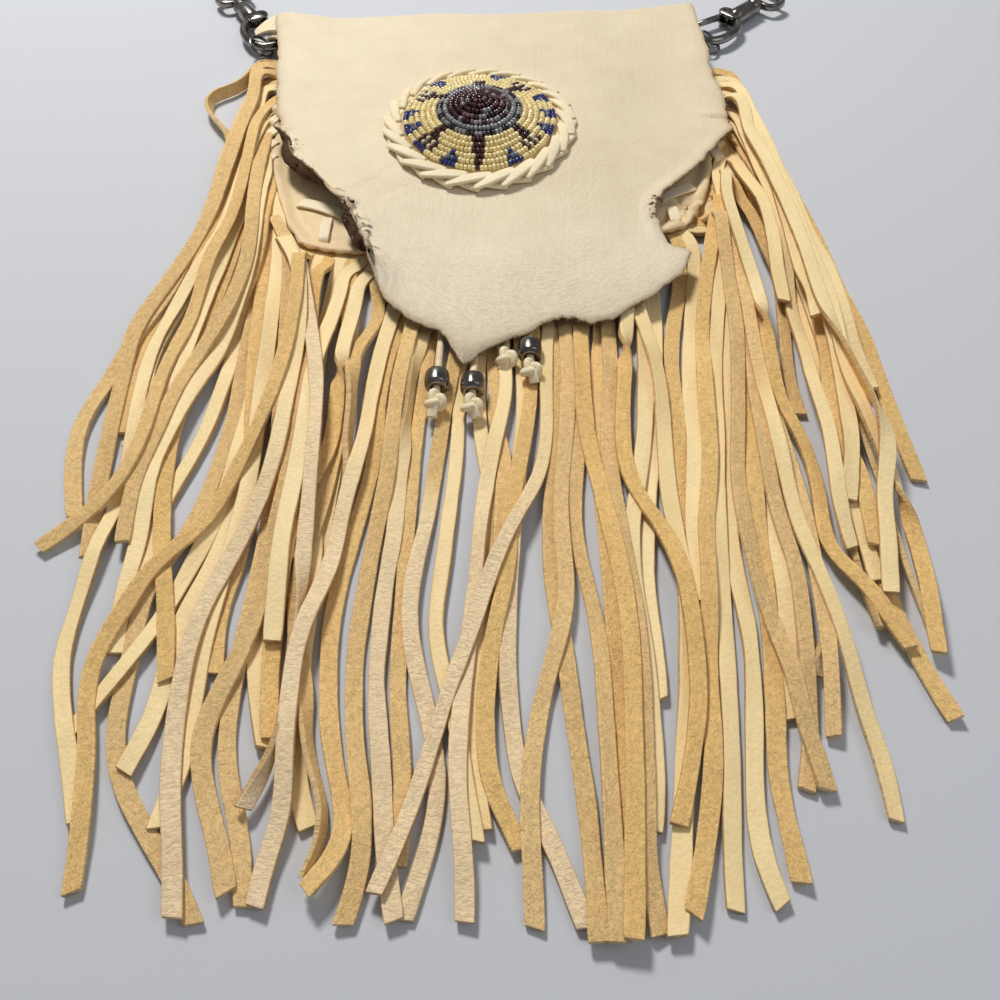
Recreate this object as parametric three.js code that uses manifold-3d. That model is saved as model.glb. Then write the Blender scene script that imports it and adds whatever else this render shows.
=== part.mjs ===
// Fringed suede bag with a beaded rosette, lying on its back with its fringe spread below it.
// Millimetres, +Z up. +Y runs up the bag to the fold, +X is to the right of the front.
// The origin is the middle of the pouch's back face, on the surface that the bag lies on.
import * as THREE from 'three';
import { mergeVertices } from 'three/addons/utils/BufferGeometryUtils.js';
import Module from 'manifold-3d';

const wasm = await Module();
wasm.setup();

// Leather
const hideThickness = 1.6;
const stripThickness = 1.6;
const laceThickness = 1.0;
const laceWidth = 4;
const sideLaceInset = 2.5;
const layerGap = 0.3;

// Pouch
const pouchWidth = 180;
const pouchDepth = 163;
const pouchBulge = 6.5;
const bulgeRamp = 55;
const seamMargin = 9;

// Flap, one piece with the back
const flapWidth = 196;
const flapLength = 220;
const foldDrop = 5.5;
const flapClearance = 3.6;
const flapTipDrop = 2.2;
const foldSideLift = 3.2;

// Fringe
const stripWidth = 4.9;
const slitWidth = 0.4;
const fringeLength = 250;
const fringeSideRun = 125;
const fringeTopGap = 16;
const fringeFan = THREE.MathUtils.degToRad(11);
const fringeBow = 9;
const fringePile = 3.2;
const headerDepth = 7;
const headerFall = 7;
const fringeSteps = [8, 22, 70, 145, fringeLength];

// Rosette
const rosetteRadius = 31;
const rosetteHeight = 9;
const rosetteX = -5.5;
const rosetteDrop = 90;
const braidWidth = 7;
const braidHeight = 4.6;
const backingThickness = 1.2;
const backingInset = 1;
const stitchLift = 0.42;

// Ties under the flap, with their beads and knots
const tieDiameter = 2.6;
const beadDiameter = 8.6;
const beadLength = 7.4;
const beadTaper = 0.9;
const tieClearance = 0.45;
const knotRadius = 3.1;
const knotStretch = 1.15;
const knotFlatness = 0.9;
const knotGap = 0.6;

// Snap hooks
const hookRod = 3.8;
const hookReach = 8.5;
const barrelDiameter = 8;
const barrelLength = 17;
const barrelStart = 17.5;
const barrelCap = 3.5;
const grooveDepth = 0.4;
const postDiameter = 3.4;
const headDiameter = 5;
const headHeight = 3;
const swivelGap = 0.35;
const collarHeight = 1.4;
const eyeWall = 2.6;
const eyeThickness = 3.2;
const strapWidth = 13;
const eyeSlotHeight = 7;
const gateThickness = 2.2;
const gateWidth = 3.4;
const gateTipWidth = 2.6;
const gatePinDiameter = 1.6;
const lugThickness = 6;
const lugWidth = 10;
const lugLength = 6;
const ringRadius = 5.5;
const ringWire = 1.5;
const ringTilt = THREE.MathUtils.degToRad(38);
const ringSeat = THREE.MathUtils.degToRad(42);
const floorGap = 0.2;

// Corner loops that hold the hooks
const loopWidth = 5;
const loopWall = 1.3;
const loopSlack = 0.9;
const loopTail = 17;

// How each hook lies past its end of the fold, and which way its shank points as seen from above
const hookLays = {
  left: { past: 8, above: 0, shankAngle: 30, grip: 31, flip: false },
  right: { past: 3.5, above: 5, shankAngle: -46, grip: 30, flip: true },
};

// Levels of the side seam, from the back up
const headerBottom = hideThickness + layerGap;
const headerTop = headerBottom + stripThickness;
const panelBottom = headerTop + layerGap;
const seamTop = panelBottom + hideThickness;

// Outline of the pouch, across in half widths and up in half depths
const pouchLeft = [[-0.96, 0.785], [-1.0, 0.4], [-1.02, 0.1], [-1.018, -0.2], [-0.99, -0.41],
  [-0.955, -0.55], [-0.9, -0.765], [-0.815, -0.92]];
const pouchBottom = [[-0.815, -0.92], [-0.72, -0.97], [-0.6, -0.993], [-0.2, -1.0], [0.1, -0.98],
  [0.4, -0.94], [0.62, -0.89], [0.78, -0.83], [0.87, -0.75]];
const pouchRight = [[0.96, 0.785], [1.0, 0.4], [1.035, 0.1], [1.03, -0.11], [0.99, -0.33],
  [0.94, -0.55], [0.87, -0.75]];

// Outline of the flap, across in half widths and down from the fold in lengths
const foldLine = [[-1.03, -0.012], [-0.44, 0.017], [0.12, 0.025], [0.5, -0.008], [0.95, -0.055]];
const flapLeft = [[-1.03, -0.012], [-1.0, 0.073], [-0.978, 0.175], [-0.95, 0.268], [-0.918, 0.344],
  [-0.88, 0.396], [-0.798, 0.46], [-0.691, 0.538], [-0.585, 0.605], [-0.55, 0.622],
  [-0.469, 0.688], [-0.44, 0.735], [-0.43, 0.804]];
const flapRight = [[0.95, -0.055], [0.966, 0.06], [0.977, 0.175], [0.997, 0.268], [1.015, 0.343],
  [0.99, 0.38], [0.85, 0.484], [0.721, 0.553], [0.644, 0.596], [0.615, 0.625], [0.62, 0.658],
  [0.671, 0.715], [0.752, 0.738]];
const flapBottom = [[-0.43, 0.804], [-0.401, 0.846], [-0.297, 0.894], [-0.19, 0.921], [-0.1, 1.0],
  [-0.028, 0.964], [0.136, 0.921], [0.228, 0.891], [0.297, 0.889], [0.349, 0.9], [0.434, 0.894],
  [0.6, 0.836], [0.704, 0.794], [0.752, 0.738]];

const foldY = pouchDepth / 2 - foldDrop;
const pouchPoint = ([across, up]) => new THREE.Vector2(across * pouchWidth / 2, up * pouchDepth / 2);
const flapPoint = ([across, down]) => new THREE.Vector2(across * flapWidth / 2, foldY - down * flapLength);
const smooth = (value, low, high) => THREE.MathUtils.smoothstep(value, low, high);

function splineSide(points) {
  const curve = new THREE.SplineCurve(points);
  return (t) => curve.getPointAt(t);
}

function straightSide(points) {
  return (t) => {
    const place = t * (points.length - 1);
    const index = Math.min(Math.floor(place + 1e-9), points.length - 2);
    return points[index].clone().lerp(points[index + 1], place - index);
  };
}

// Surfaces of the soft pieces as heights over the ground plan

function panelLift(x, y) {
  const fromSide = pouchWidth / 2 - Math.abs(x) - seamMargin;
  const fromBottom = y + pouchDepth / 2 - seamMargin;
  return pouchBulge * smooth(fromSide, 0, bulgeRamp) * smooth(fromBottom, 0, bulgeRamp);
}

const panelTop = (x, y) => seamTop + panelLift(x, y);

function flapTop(x, y) {
  const pastPouch = smooth(-y, pouchDepth / 2, flapLength - foldY);
  const nearFold = smooth(y, 0, foldY);
  const atSide = smooth(Math.abs(x), pouchWidth / 6, flapWidth / 2);
  return panelTop(x, y) + flapClearance + hideThickness
    - flapTipDrop * pastPouch + foldSideLift * nearFold * atSide;
}

// Mesh helpers

function solidFrom(points, faces) {
  const position = [];
  for (const face of faces) {
    for (let k = 1; k < face.length - 1; k += 1) {
      for (const index of [face[0], face[k], face[k + 1]]) position.push(...points[index].toArray());
    }
  }
  const geometry = new THREE.BufferGeometry();
  geometry.setAttribute('position', new THREE.Float32BufferAttribute(position, 3));
  return tidy(geometry);
}

function tidy(source) {
  const bare = source.index ? source.toNonIndexed() : source.clone();
  for (const name of Object.keys(bare.attributes)) if (name !== 'position') bare.deleteAttribute(name);
  const geometry = mergeVertices(bare, 1e-4);
  const place = geometry.attributes.position;
  const kept = [];
  let volume = 0;
  const corner = [new THREE.Vector3(), new THREE.Vector3(), new THREE.Vector3()];
  for (let k = 0; k < geometry.index.count; k += 3) {
    const face = [0, 1, 2].map((n) => geometry.index.getX(k + n));
    if (face[0] === face[1] || face[1] === face[2] || face[2] === face[0]) continue;
    face.forEach((index, n) => corner[n].fromBufferAttribute(place, index));
    volume += corner[0].dot(corner[1].clone().cross(corner[2]));
    kept.push(face);
  }
  geometry.setIndex(kept.flatMap((face) => (volume < 0 ? [face[0], face[2], face[1]] : face)));
  geometry.computeVertexNormals();
  return geometry;
}

function toManifold(source) {
  const geometry = tidy(source);
  return new wasm.Manifold(new wasm.Mesh({
    numProp: 3,
    vertProperties: new Float32Array(geometry.attributes.position.array),
    triVerts: new Uint32Array(geometry.index.array),
  }));
}

function fromManifold(solid) {
  const mesh = solid.getMesh();
  const geometry = new THREE.BufferGeometry();
  geometry.setAttribute('position', new THREE.BufferAttribute(new Float32Array(mesh.vertProperties), 3));
  geometry.setIndex(Array.from(mesh.triVerts));
  return tidy(geometry);
}

function joined(parts, cuts = []) {
  let solid = parts.map(toManifold).reduce((sum, part) => sum.add(part));
  for (const cut of cuts) solid = solid.subtract(toManifold(cut));
  return fromManifold(solid);
}

// A closed sheet of even thickness round a grid of middle points
function sheetFrom(grid, thickness) {
  const rows = grid.length;
  const cols = grid[0].length;
  const points = [];
  const at = (i, j) => grid[THREE.MathUtils.clamp(i, 0, rows - 1)][THREE.MathUtils.clamp(j, 0, cols - 1)];
  for (let i = 0; i < rows; i += 1) {
    for (let j = 0; j < cols; j += 1) {
      const along = at(i + 1, j).clone().sub(at(i - 1, j));
      const across = at(i, j + 1).clone().sub(at(i, j - 1));
      const normal = along.cross(across).setLength(thickness / 2);
      points.push(grid[i][j].clone().add(normal), grid[i][j].clone().sub(normal));
    }
  }
  const index = (i, j, side) => 2 * (i * cols + j) + side;
  const faces = [];
  for (let i = 0; i < rows - 1; i += 1) {
    for (let j = 0; j < cols - 1; j += 1) {
      faces.push([index(i, j, 0), index(i, j + 1, 0), index(i + 1, j + 1, 0), index(i + 1, j, 0)]);
      faces.push([index(i, j, 1), index(i + 1, j, 1), index(i + 1, j + 1, 1), index(i, j + 1, 1)]);
    }
  }
  const rim = [];
  for (let j = 0; j < cols; j += 1) rim.push([0, j]);
  for (let i = 1; i < rows; i += 1) rim.push([i, cols - 1]);
  for (let j = cols - 2; j >= 0; j -= 1) rim.push([rows - 1, j]);
  for (let i = rows - 2; i > 0; i -= 1) rim.push([i, 0]);
  rim.forEach(([i, j], k) => {
    const [ni, nj] = rim[(k + 1) % rim.length];
    faces.push([index(i, j, 0), index(i, j, 1), index(ni, nj, 1), index(ni, nj, 0)]);
  });
  return solidFrom(points, faces);
}

// Four sides blended into a grid of points on the ground plan
function patch(top, bottom, left, right, rows, cols) {
  const grid = [];
  for (let i = 0; i <= rows; i += 1) {
    const s = i / rows;
    const row = [];
    for (let j = 0; j <= cols; j += 1) {
      const t = j / cols;
      const point = top(t).multiplyScalar(1 - s).addScaledVector(bottom(t), s);
      point.addScaledVector(left(s), 1 - t).addScaledVector(right(s), t);
      point.addScaledVector(top(0), -(1 - s) * (1 - t)).addScaledVector(top(1), -(1 - s) * t);
      point.addScaledVector(bottom(0), -s * (1 - t)).addScaledVector(bottom(1), -s * t);
      row.push(point);
    }
    grid.push(row);
  }
  return grid;
}

const raised = (grid, height) => grid.map((row) => row.map((p) => (
  new THREE.Vector3(p.x, p.y, height(p.x, p.y)))));

function draped(source, x, y, base) {
  const geometry = source.clone().translate(x, y, 0);
  const place = geometry.attributes.position;
  for (let k = 0; k < place.count; k += 1) {
    place.setZ(k, place.getZ(k) + base + flapTop(place.getX(k), place.getY(k)));
  }
  return tidy(geometry);
}

function roundShape(radius, sides) {
  const shape = new THREE.Shape();
  for (let k = 0; k < sides; k += 1) {
    const angle = (2 * Math.PI * k) / sides;
    const point = [radius * Math.cos(angle), radius * Math.sin(angle)];
    if (k === 0) shape.moveTo(...point);
    else shape.lineTo(...point);
  }
  shape.closePath();
  return shape;
}

function tubeAlong(points, diameter, steps, sides = 10) {
  const path = new THREE.CatmullRomCurve3(points, false, 'centripetal');
  return new THREE.ExtrudeGeometry(roundShape(diameter / 2, sides), { steps, extrudePath: path });
}

// A turned solid whose axis is +Y, from a profile of radius and height
function turned(profile, segments) {
  return new THREE.LatheGeometry(profile.map((p) => new THREE.Vector2(...p)), segments);
}

const bag = new THREE.Group();
const leather = (color, roughness = 0.85) => new THREE.MeshStandardMaterial({ color, roughness, metalness: 0 });
const metal = () => new THREE.MeshStandardMaterial({ color: 0x6d6a66, roughness: 0.25, metalness: 1 });

function add(name, geometry, material, parent = bag) {
  const mesh = new THREE.Mesh(tidy(geometry), material);
  mesh.name = name;
  parent.add(mesh);
}

// Back, fold and flap: one hide
const hideColumns = 2 * (flapBottom.length - 1);
const flapRows = 2 * (flapLeft.length - 1);
const foldTopSide = splineSide(foldLine.map(flapPoint));
const footHalf = pouchPoint(pouchLeft[0]).x;
const foldFoot = (t) => new THREE.Vector2(THREE.MathUtils.lerp(footHalf, -footHalf, t), foldTopSide(t).y);

function hideGeometry() {
  const backRows = 4;
  const foldRows = 6;
  const middle = hideThickness / 2;
  const left = splineSide([foldFoot(0), ...pouchLeft.map(pouchPoint)]);
  const right = splineSide([foldFoot(1), ...pouchRight.map(pouchPoint)]);
  const bottom = splineSide(pouchBottom.map(pouchPoint));
  const back = raised(patch(foldFoot, bottom, left, right, backRows, hideColumns), () => middle).reverse();
  const flap = raised(patch(foldTopSide, straightSide(flapBottom.map(flapPoint)),
    straightSide(flapLeft.map(flapPoint)), straightSide(flapRight.map(flapPoint)), flapRows, hideColumns),
  (x, y) => flapTop(x, y) - middle);
  const fold = [];
  for (let k = 1; k < foldRows; k += 1) {
    const angle = Math.PI * (k / foldRows - 0.5);
    fold.push(flap[0].map((end, j) => {
      const start = back[back.length - 1][j];
      const radius = (end.z - start.z) / 2;
      const x = THREE.MathUtils.lerp(start.x, end.x, (1 + Math.sin(angle)) / 2);
      return new THREE.Vector3(x, end.y + radius * Math.cos(angle), start.z + radius * (1 + Math.sin(angle)));
    }));
  }
  return sheetFrom([...back, ...fold, ...flap], hideThickness);
}
add('back_and_flap', hideGeometry(), leather(0xe6dcc0));

// Front panel, open at its top edge
function panelGeometry() {
  const rows = 14;
  const cols = 16;
  const mouth = (t) => pouchPoint(pouchLeft[0]).lerp(pouchPoint(pouchRight[0]), t);
  const plan = patch(mouth, splineSide(pouchBottom.map(pouchPoint)), splineSide(pouchLeft.map(pouchPoint)),
    splineSide(pouchRight.map(pouchPoint)), rows, cols);
  return sheetFrom(raised(plan, (x, y) => panelTop(x, y) - hideThickness / 2), hideThickness);
}
add('front_panel', panelGeometry(), leather(0xead9ad));

// Seam line round the pouch, from the left mouth corner under the bottom to the right one
const seam = new THREE.SplineCurve([...pouchLeft, ...pouchBottom.slice(1),
  ...pouchRight.slice(0, -1).reverse()].map(pouchPoint));
seam.arcLengthDivisions = 800;
const seamLength = seam.getLength();
const seamPoint = (distance) => seam.getPointAt(Math.min(1, distance / seamLength));

function seamInward(distance) {
  const along = seam.getTangentAt(distance / seamLength);
  return new THREE.Vector2(-along.y, along.x);
}

const seamSamples = seam.getSpacedPoints(300);
const fromSeam = (x, y) => Math.min(...seamSamples.map((p) => Math.hypot(p.x - x, p.y - y)));

// One fringe piece: a header band inside the seam and strips that fan out over the floor.
// Where the strips pile up beside the pouch, each is drawn narrower and thicker.
function fringeGeometry(start, run, pile) {
  const pitch = stripWidth + slitWidth;
  const count = Math.floor(run / pitch);
  const first = start + (run - count * pitch) / 2;
  const points = [];
  const faces = [];
  const corner = (p, z) => points.push(new THREE.Vector3(p.x, p.y, z)) - 1;
  const pair = (p, low, high) => [corner(p, low), corner(p, high)];
  const wall = (from, to) => faces.push([from[0], to[0], to[1], from[1]]);
  const plate = (a, b, c, d) => faces.push([a[1], b[1], c[1], d[1]], [d[0], c[0], b[0], a[0]]);

  function strand(distance) {
    const root = seamPoint(distance);
    const lean = 2 * distance / seamLength - 1;
    const angle = fringeFan * lean;
    const way = new THREE.Vector2(Math.sin(angle), -Math.cos(angle));
    return { root, way, lean };
  }
  function along({ root, way, lean }, distance) {
    const bow = fringeBow * lean * Math.sin((Math.PI * distance) / fringeLength);
    return root.clone().addScaledVector(way, distance).add(new THREE.Vector2(bow, 0));
  }

  let before = null;
  for (let k = 0; k < count; k += 1) {
    const edges = [first + k * pitch + slitWidth / 2, first + (k + 1) * pitch - slitWidth / 2];
    const [inner, outer] = [headerDepth, 0].map((depth) => edges.map((distance) => (
      pair(seamPoint(distance).addScaledVector(seamInward(distance), depth), headerBottom, headerTop))));
    plate(inner[0], inner[1], outer[1], outer[0]);
    wall(inner[0], inner[1]);
    if (before) {
      plate(before.inner, inner[0], outer[0], before.outer);
      wall(before.inner, inner[0]);
      wall(outer[0], before.outer);
    } else {
      wall(outer[0], inner[0]);
    }
    const strands = edges.map(strand);
    const stagger = strands[1].root.clone().sub(strands[0].root).dot(strands[0].way);
    const early = [Math.min(0, stagger), -Math.max(0, stagger)];
    let last = outer;
    for (const distance of fringeSteps) {
      const ends = strands.map((one, side) => along(one, distance + early[side]));
      const spare = Math.max(0, 1 - stripWidth / ends[0].distanceTo(ends[1])) / 2;
      const [from, to] = [ends[0].clone().lerp(ends[1], spare), ends[1].clone().lerp(ends[0], spare)];
      const row = [from, to].map((p) => {
        const low = headerBottom * (1 - smooth(fromSeam(p.x, p.y), layerGap, headerFall));
        const swell = smooth(distance, 10, 60) * (1 - smooth(distance, 0.6 * fringeLength, fringeLength));
        return pair(p, low, low + stripThickness + (pile - stripThickness) * swell);
      });
      plate(last[0], last[1], row[1], row[0]);
      wall(row[0], last[0]);
      wall(last[1], row[1]);
      last = row;
    }
    wall(last[1], last[0]);
    before = { inner: inner[1], outer: outer[1] };
  }
  wall(before.inner, before.outer);
  return solidFrom(points, faces);
}

const bottomStart = fringeTopGap + fringeSideRun + slitWidth;
const rightStart = seamLength - fringeTopGap - fringeSideRun;
add('fringe_left', fringeGeometry(fringeTopGap, fringeSideRun, fringePile), leather(0xdcb877, 0.95));
add('fringe_bottom', fringeGeometry(bottomStart, rightStart - bottomStart - slitWidth, stripThickness),
  leather(0xdcb877, 0.95));
add('fringe_right', fringeGeometry(rightStart, fringeSideRun, fringePile), leather(0xdcb877, 0.95));

// Lace that whips each side seam, as one flat run along the seam's margin
function sideLace(start, end) {
  const steps = 16;
  const grid = [];
  for (let k = 0; k <= steps; k += 1) {
    const distance = THREE.MathUtils.lerp(start, end, k / steps);
    grid.push([sideLaceInset, sideLaceInset + laceWidth].map((depth) => {
      const p = seamPoint(distance).addScaledVector(seamInward(distance), depth);
      return new THREE.Vector3(p.x, p.y, seamTop + layerGap + laceThickness / 2);
    }));
  }
  return sheetFrom(grid, laceThickness);
}
// Stitches of lace on the lower corners of the front panel, in half widths and half depths
const cornerStitches = {
  left_1: [[-0.852, -0.627], [-0.648, -0.727]],
  left_2: [[-0.712, -0.745], [-0.719, -0.915]],
  right_1: [[0.9, -0.5], [0.732, -0.605]],
  right_2: [[0.775, -0.66], [0.79, -0.78]],
};

// Each side's lace stops above its first corner stitch
const stitchGap = 16;
const seamDistances = Array.from({ length: 301 }, (_, k) => (seamLength * k) / 300);

function nearestOnSeam([across, up]) {
  const goal = pouchPoint([across, up]);
  const away = (distance) => seamPoint(distance).distanceTo(goal);
  return seamDistances.reduce((best, distance) => (away(distance) < away(best) ? distance : best));
}
const leftLaceEnd = nearestOnSeam(cornerStitches.left_1[0]) - stitchGap;
const rightLaceEnd = nearestOnSeam(cornerStitches.right_1[0]) + stitchGap;
add('side_lace_left', sideLace(fringeTopGap, leftLaceEnd), leather(0xf3e2b4));
add('side_lace_right', sideLace(rightLaceEnd, seamLength - fringeTopGap), leather(0xf3e2b4));

for (const [name, ends] of Object.entries(cornerStitches)) {
  const [from, to] = ends.map(pouchPoint);
  const side = to.clone().sub(from).normalize().rotateAround(new THREE.Vector2(), Math.PI / 2);
  const grid = [];
  for (let k = 0; k <= 4; k += 1) {
    grid.push([-laceWidth / 2, 0, laceWidth / 2].map((offset) => {
      const p = from.clone().lerp(to, k / 4).addScaledVector(side, offset);
      return new THREE.Vector3(p.x, p.y, panelTop(p.x, p.y) + layerGap + laceThickness / 2);
    }));
  }
  add(`corner_lace_${name}`, sheetFrom(grid, laceThickness), leather(0xf3e2b4));
}

// Rosette on the flap: backing, beaded dome and plaited rim
const rosetteY = foldY - rosetteDrop;
const backingRadius = rosetteRadius + layerGap + braidWidth - backingInset;

function rosettePlate(profile, segments, base) {
  return draped(turned(profile, segments).rotateX(Math.PI / 2), rosetteX, rosetteY, base);
}
const ringSteps = 4;
const backingRings = Array.from({ length: ringSteps }, (_, k) => (backingRadius * (k + 1)) / ringSteps);
add('rosette_backing', rosettePlate([[0, 0], ...backingRings.map((r) => [r, 0]),
  ...backingRings.toReversed().map((r) => [r, backingThickness]), [0, backingThickness]], 32, layerGap),
leather(0xe9dcb8));
const beadBase = layerGap + backingThickness + stitchLift;
const domeProfile = [[0, 0], [rosetteRadius / 2, 0], [rosetteRadius, 0], [rosetteRadius, 0.18],
  [0.9 * rosetteRadius, 0.36], [0.7 * rosetteRadius, 0.62], [0.4 * rosetteRadius, 0.88], [0, 1]];
add('rosette_beadwork', rosettePlate(domeProfile.map(([r, h]) => [r, h * rosetteHeight]), 36, beadBase),
  new THREE.MeshStandardMaterial({ color: 0xdfc98a, roughness: 0.3 }));
const braidMiddle = rosetteRadius + layerGap + braidWidth / 2;
const braidSection = Array.from({ length: 9 }, (_, k) => {
  const angle = (2 * Math.PI * (k % 8)) / 8 + Math.PI / 8;
  const low = 1 + Math.sin(angle) / Math.sin((3 * Math.PI) / 8);
  return [braidMiddle + (braidWidth / 2) * Math.cos(angle) / Math.cos(Math.PI / 8), (braidHeight / 2) * low];
});
add('rosette_braid', rosettePlate(braidSection, 36, beadBase), leather(0xf0e0b0));

// Ties that run from the front panel out under the flap, with points on each one's route
const tieRoutes = {
  1: [[-13, -52, 9.2], [-14, -60, 8.3], [-15, -70, 7.5], [-15.8, -80, 7.2], [-16.5, -90, 5.4],
    [-17, -100, 4.2], [-17.5, -112, 3.8], [-17.9, -124, 3.9], [-18.2, -134, 4.6], [-18.4, -142, 5.8],
    [-18.5, -149, 6.2], [-18.6, -154, 6.1]],
  2: [[-5, -52, 9.2], [-5, -60, 8.3], [-5, -70, 7.5], [-5.2, -80, 7.2], [-5.4, -90, 5.4],
    [-5.6, -100, 4.2], [-5.8, -112, 3.8], [-6, -126, 3.7], [-6.1, -136, 3.9], [-6.2, -141, 4.8],
    [-6.3, -145.5, 6], [-6.4, -151, 6.2], [-6.5, -156, 6.1]],
  3: [[12, -52, 9.2], [12.2, -60, 8.3], [12.4, -70, 7.5], [12.5, -80, 7.2], [12.6, -90, 5.4],
    [12.7, -100, 4.2], [12.8, -110, 3.8], [12.9, -118, 3.8], [13, -124, 4.6], [13.1, -129, 5.9],
    [13.2, -134.5, 6.2], [13.3, -139.4, 6.1]],
  4: [[4, -52, 9.2], [4.1, -60, 8.3], [4.2, -70, 7.5], [4.3, -80, 7.2], [4.4, -90, 5.4],
    [4.5, -100, 4.2], [4.6, -110, 3.8], [4.8, -122, 3.8], [5, -132.5, 4.6]],
};
const beadPlaces = {
  1: [-18.5, -149, 6.2],
  2: [-6.4, -151, 6.2],
  3: [13.2, -134.5, 6.2],
};
const tieSteps = 16;
for (const [name, route] of Object.entries(tieRoutes)) {
  const points = route.map((p) => new THREE.Vector3(...p));
  add(`tie_${name}`, tubeAlong(points, tieDiameter, tieSteps, 8), leather(0xf3e2b4));
  const last = points[points.length - 1];
  const way = last.clone().sub(points[points.length - 2]).normalize();
  const knot = new THREE.SphereGeometry(knotRadius, 10, 8).scale(1, knotStretch, knotFlatness);
  const middle = last.clone().addScaledVector(way, knotRadius * knotStretch + knotGap);
  add(`knot_${name}`, knot.translate(middle.x, middle.y, middle.z), leather(0xf3e2b4));
}
for (const [name, place] of Object.entries(beadPlaces)) {
  const bore = tieDiameter / 2 + tieClearance;
  const [full, end] = [beadDiameter / 2, beadDiameter / 2 - beadTaper];
  const half = beadLength / 2;
  const barrel = turned([[bore, -half], [end, -half], [full, -half / 2], [full, half / 2], [end, half],
    [bore, half], [bore, -half]], 16);
  add(`bead_${name}`, barrel.translate(...place), metal());
}

// One snap hook, laid flat with its shank along +Y and its middle at the origin
const rodRoute = [[-1.2, 18.2], [-6.9, 12.4], [-8.6, 4.5], [-8.0, -2], [-4.9, -6.95], [0, -hookReach],
  [4.4, -7.3], [7.6, -3.8], [8.3, 0.6]];
const gatePivot = [4.6, 16.2];
const gateTip = [7.9, 2.4];
const barrelEnd = barrelStart + barrelLength;

function hookBodyGeometry() {
  const radius = barrelDiameter / 2;
  const bore = postDiameter / 2 + swivelGap;
  const chamber = headDiameter / 2 + swivelGap;
  const chamberTop = barrelEnd - barrelCap;
  const chamberFloor = chamberTop - headHeight - 1;
  const groove = barrelEnd - barrelCap + 0.1;
  const barrel = turned([[0, barrelStart], [0.8 * radius, barrelStart], [radius, barrelStart + 1.5],
    [radius, groove - 2 * grooveDepth], [radius - grooveDepth, groove], [radius, groove + 2 * grooveDepth],
    [radius, barrelEnd - 0.6], [0.9 * radius, barrelEnd], [bore, barrelEnd], [bore, chamberTop],
    [chamber, chamberTop], [chamber, chamberFloor], [0, chamberFloor]], 18);
  const rod = tubeAlong(rodRoute.map(([x, y]) => new THREE.Vector3(x, y, 0)), hookRod, 20, 8);
  const lug = new THREE.BoxGeometry(lugWidth, lugLength, lugThickness).translate(2, gatePivot[1] + 0.8, 0);
  const slot = new THREE.BoxGeometry(gateWidth + 2.6, lugLength + 2, gateThickness + 2 * layerGap)
    .translate(gatePivot[0] + layerGap, gatePivot[1] + 0.2, 0);
  const holeRadius = gatePinDiameter / 2 + layerGap;
  const pinHole = new THREE.CylinderGeometry(holeRadius, holeRadius, 2 * lugThickness, 12)
    .rotateX(Math.PI / 2).translate(...gatePivot, 0);
  return joined([barrel, rod, lug], [slot, pinHole]);
}

function gateGeometry() {
  const [pivot, tip] = [gatePivot, gateTip].map((p) => new THREE.Vector2(...p));
  const way = tip.clone().sub(pivot).angle();
  const shape = new THREE.Shape();
  shape.absarc(pivot.x, pivot.y, gateWidth / 2, way + Math.PI / 2, way - Math.PI / 2, false);
  shape.absarc(tip.x, tip.y, gateTipWidth / 2, way - Math.PI / 2, way + Math.PI / 2, false);
  const holeRadius = gatePinDiameter / 2 + layerGap;
  shape.holes.push(new THREE.Path().absarc(pivot.x, pivot.y, holeRadius, 0, 2 * Math.PI, true));
  return new THREE.ExtrudeGeometry(shape, { depth: gateThickness, bevelEnabled: false, curveSegments: 8 })
    .translate(0, 0, -gateThickness / 2);
}

function eyeGeometry() {
  const post = postDiameter / 2;
  const headTop = barrelEnd - barrelCap - swivelGap;
  const headFoot = headTop - headHeight;
  const collar = barrelEnd + swivelGap;
  const plateStart = collar + collarHeight;
  const stem = turned([[0, headFoot], [headDiameter / 2, headFoot], [headDiameter / 2, headTop],
    [post, headTop], [post, collar], [0.4 * barrelDiameter, collar], [0.35 * barrelDiameter, plateStart + 1],
    [0, plateStart + 1]], 20);
  const half = strapWidth / 2 + eyeWall;
  const height = eyeSlotHeight + 2 * eyeWall;
  const plate = new THREE.Shape();
  plate.moveTo(-0.35 * half, plateStart);
  plate.lineTo(0.35 * half, plateStart);
  plate.quadraticCurveTo(half, plateStart + 1, half, plateStart + 0.55 * height);
  plate.quadraticCurveTo(half, plateStart + height, half - eyeWall, plateStart + height);
  plate.lineTo(eyeWall - half, plateStart + height);
  plate.quadraticCurveTo(-half, plateStart + height, -half, plateStart + 0.55 * height);
  plate.quadraticCurveTo(-half, plateStart + 1, -0.35 * half, plateStart);
  const [low, high] = [plateStart + eyeWall, plateStart + eyeWall + eyeSlotHeight];
  const bend = (low + high) / 2;
  const slot = new THREE.Path();
  slot.moveTo(-0.55 * strapWidth / 2, low);
  slot.quadraticCurveTo(-strapWidth / 2, low, -strapWidth / 2, bend);
  slot.lineTo(-strapWidth / 2, high);
  slot.lineTo(strapWidth / 2, high);
  slot.lineTo(strapWidth / 2, bend);
  slot.quadraticCurveTo(strapWidth / 2, low, 0.55 * strapWidth / 2, low);
  slot.closePath();
  plate.holes.push(slot);
  const flat = new THREE.ExtrudeGeometry(plate, { depth: eyeThickness, bevelEnabled: false, curveSegments: 6 })
    .translate(0, 0, -eyeThickness / 2);
  return joined([stem, flat]);
}

function ringGeometry() {
  return new THREE.TorusGeometry(ringRadius, ringWire / 2, 6, 20)
    .rotateY(ringTilt)
    .rotateZ(-ringSeat)
    .translate(-hookReach * Math.sin(ringSeat), -hookReach * Math.cos(ringSeat), 0);
}

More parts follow.
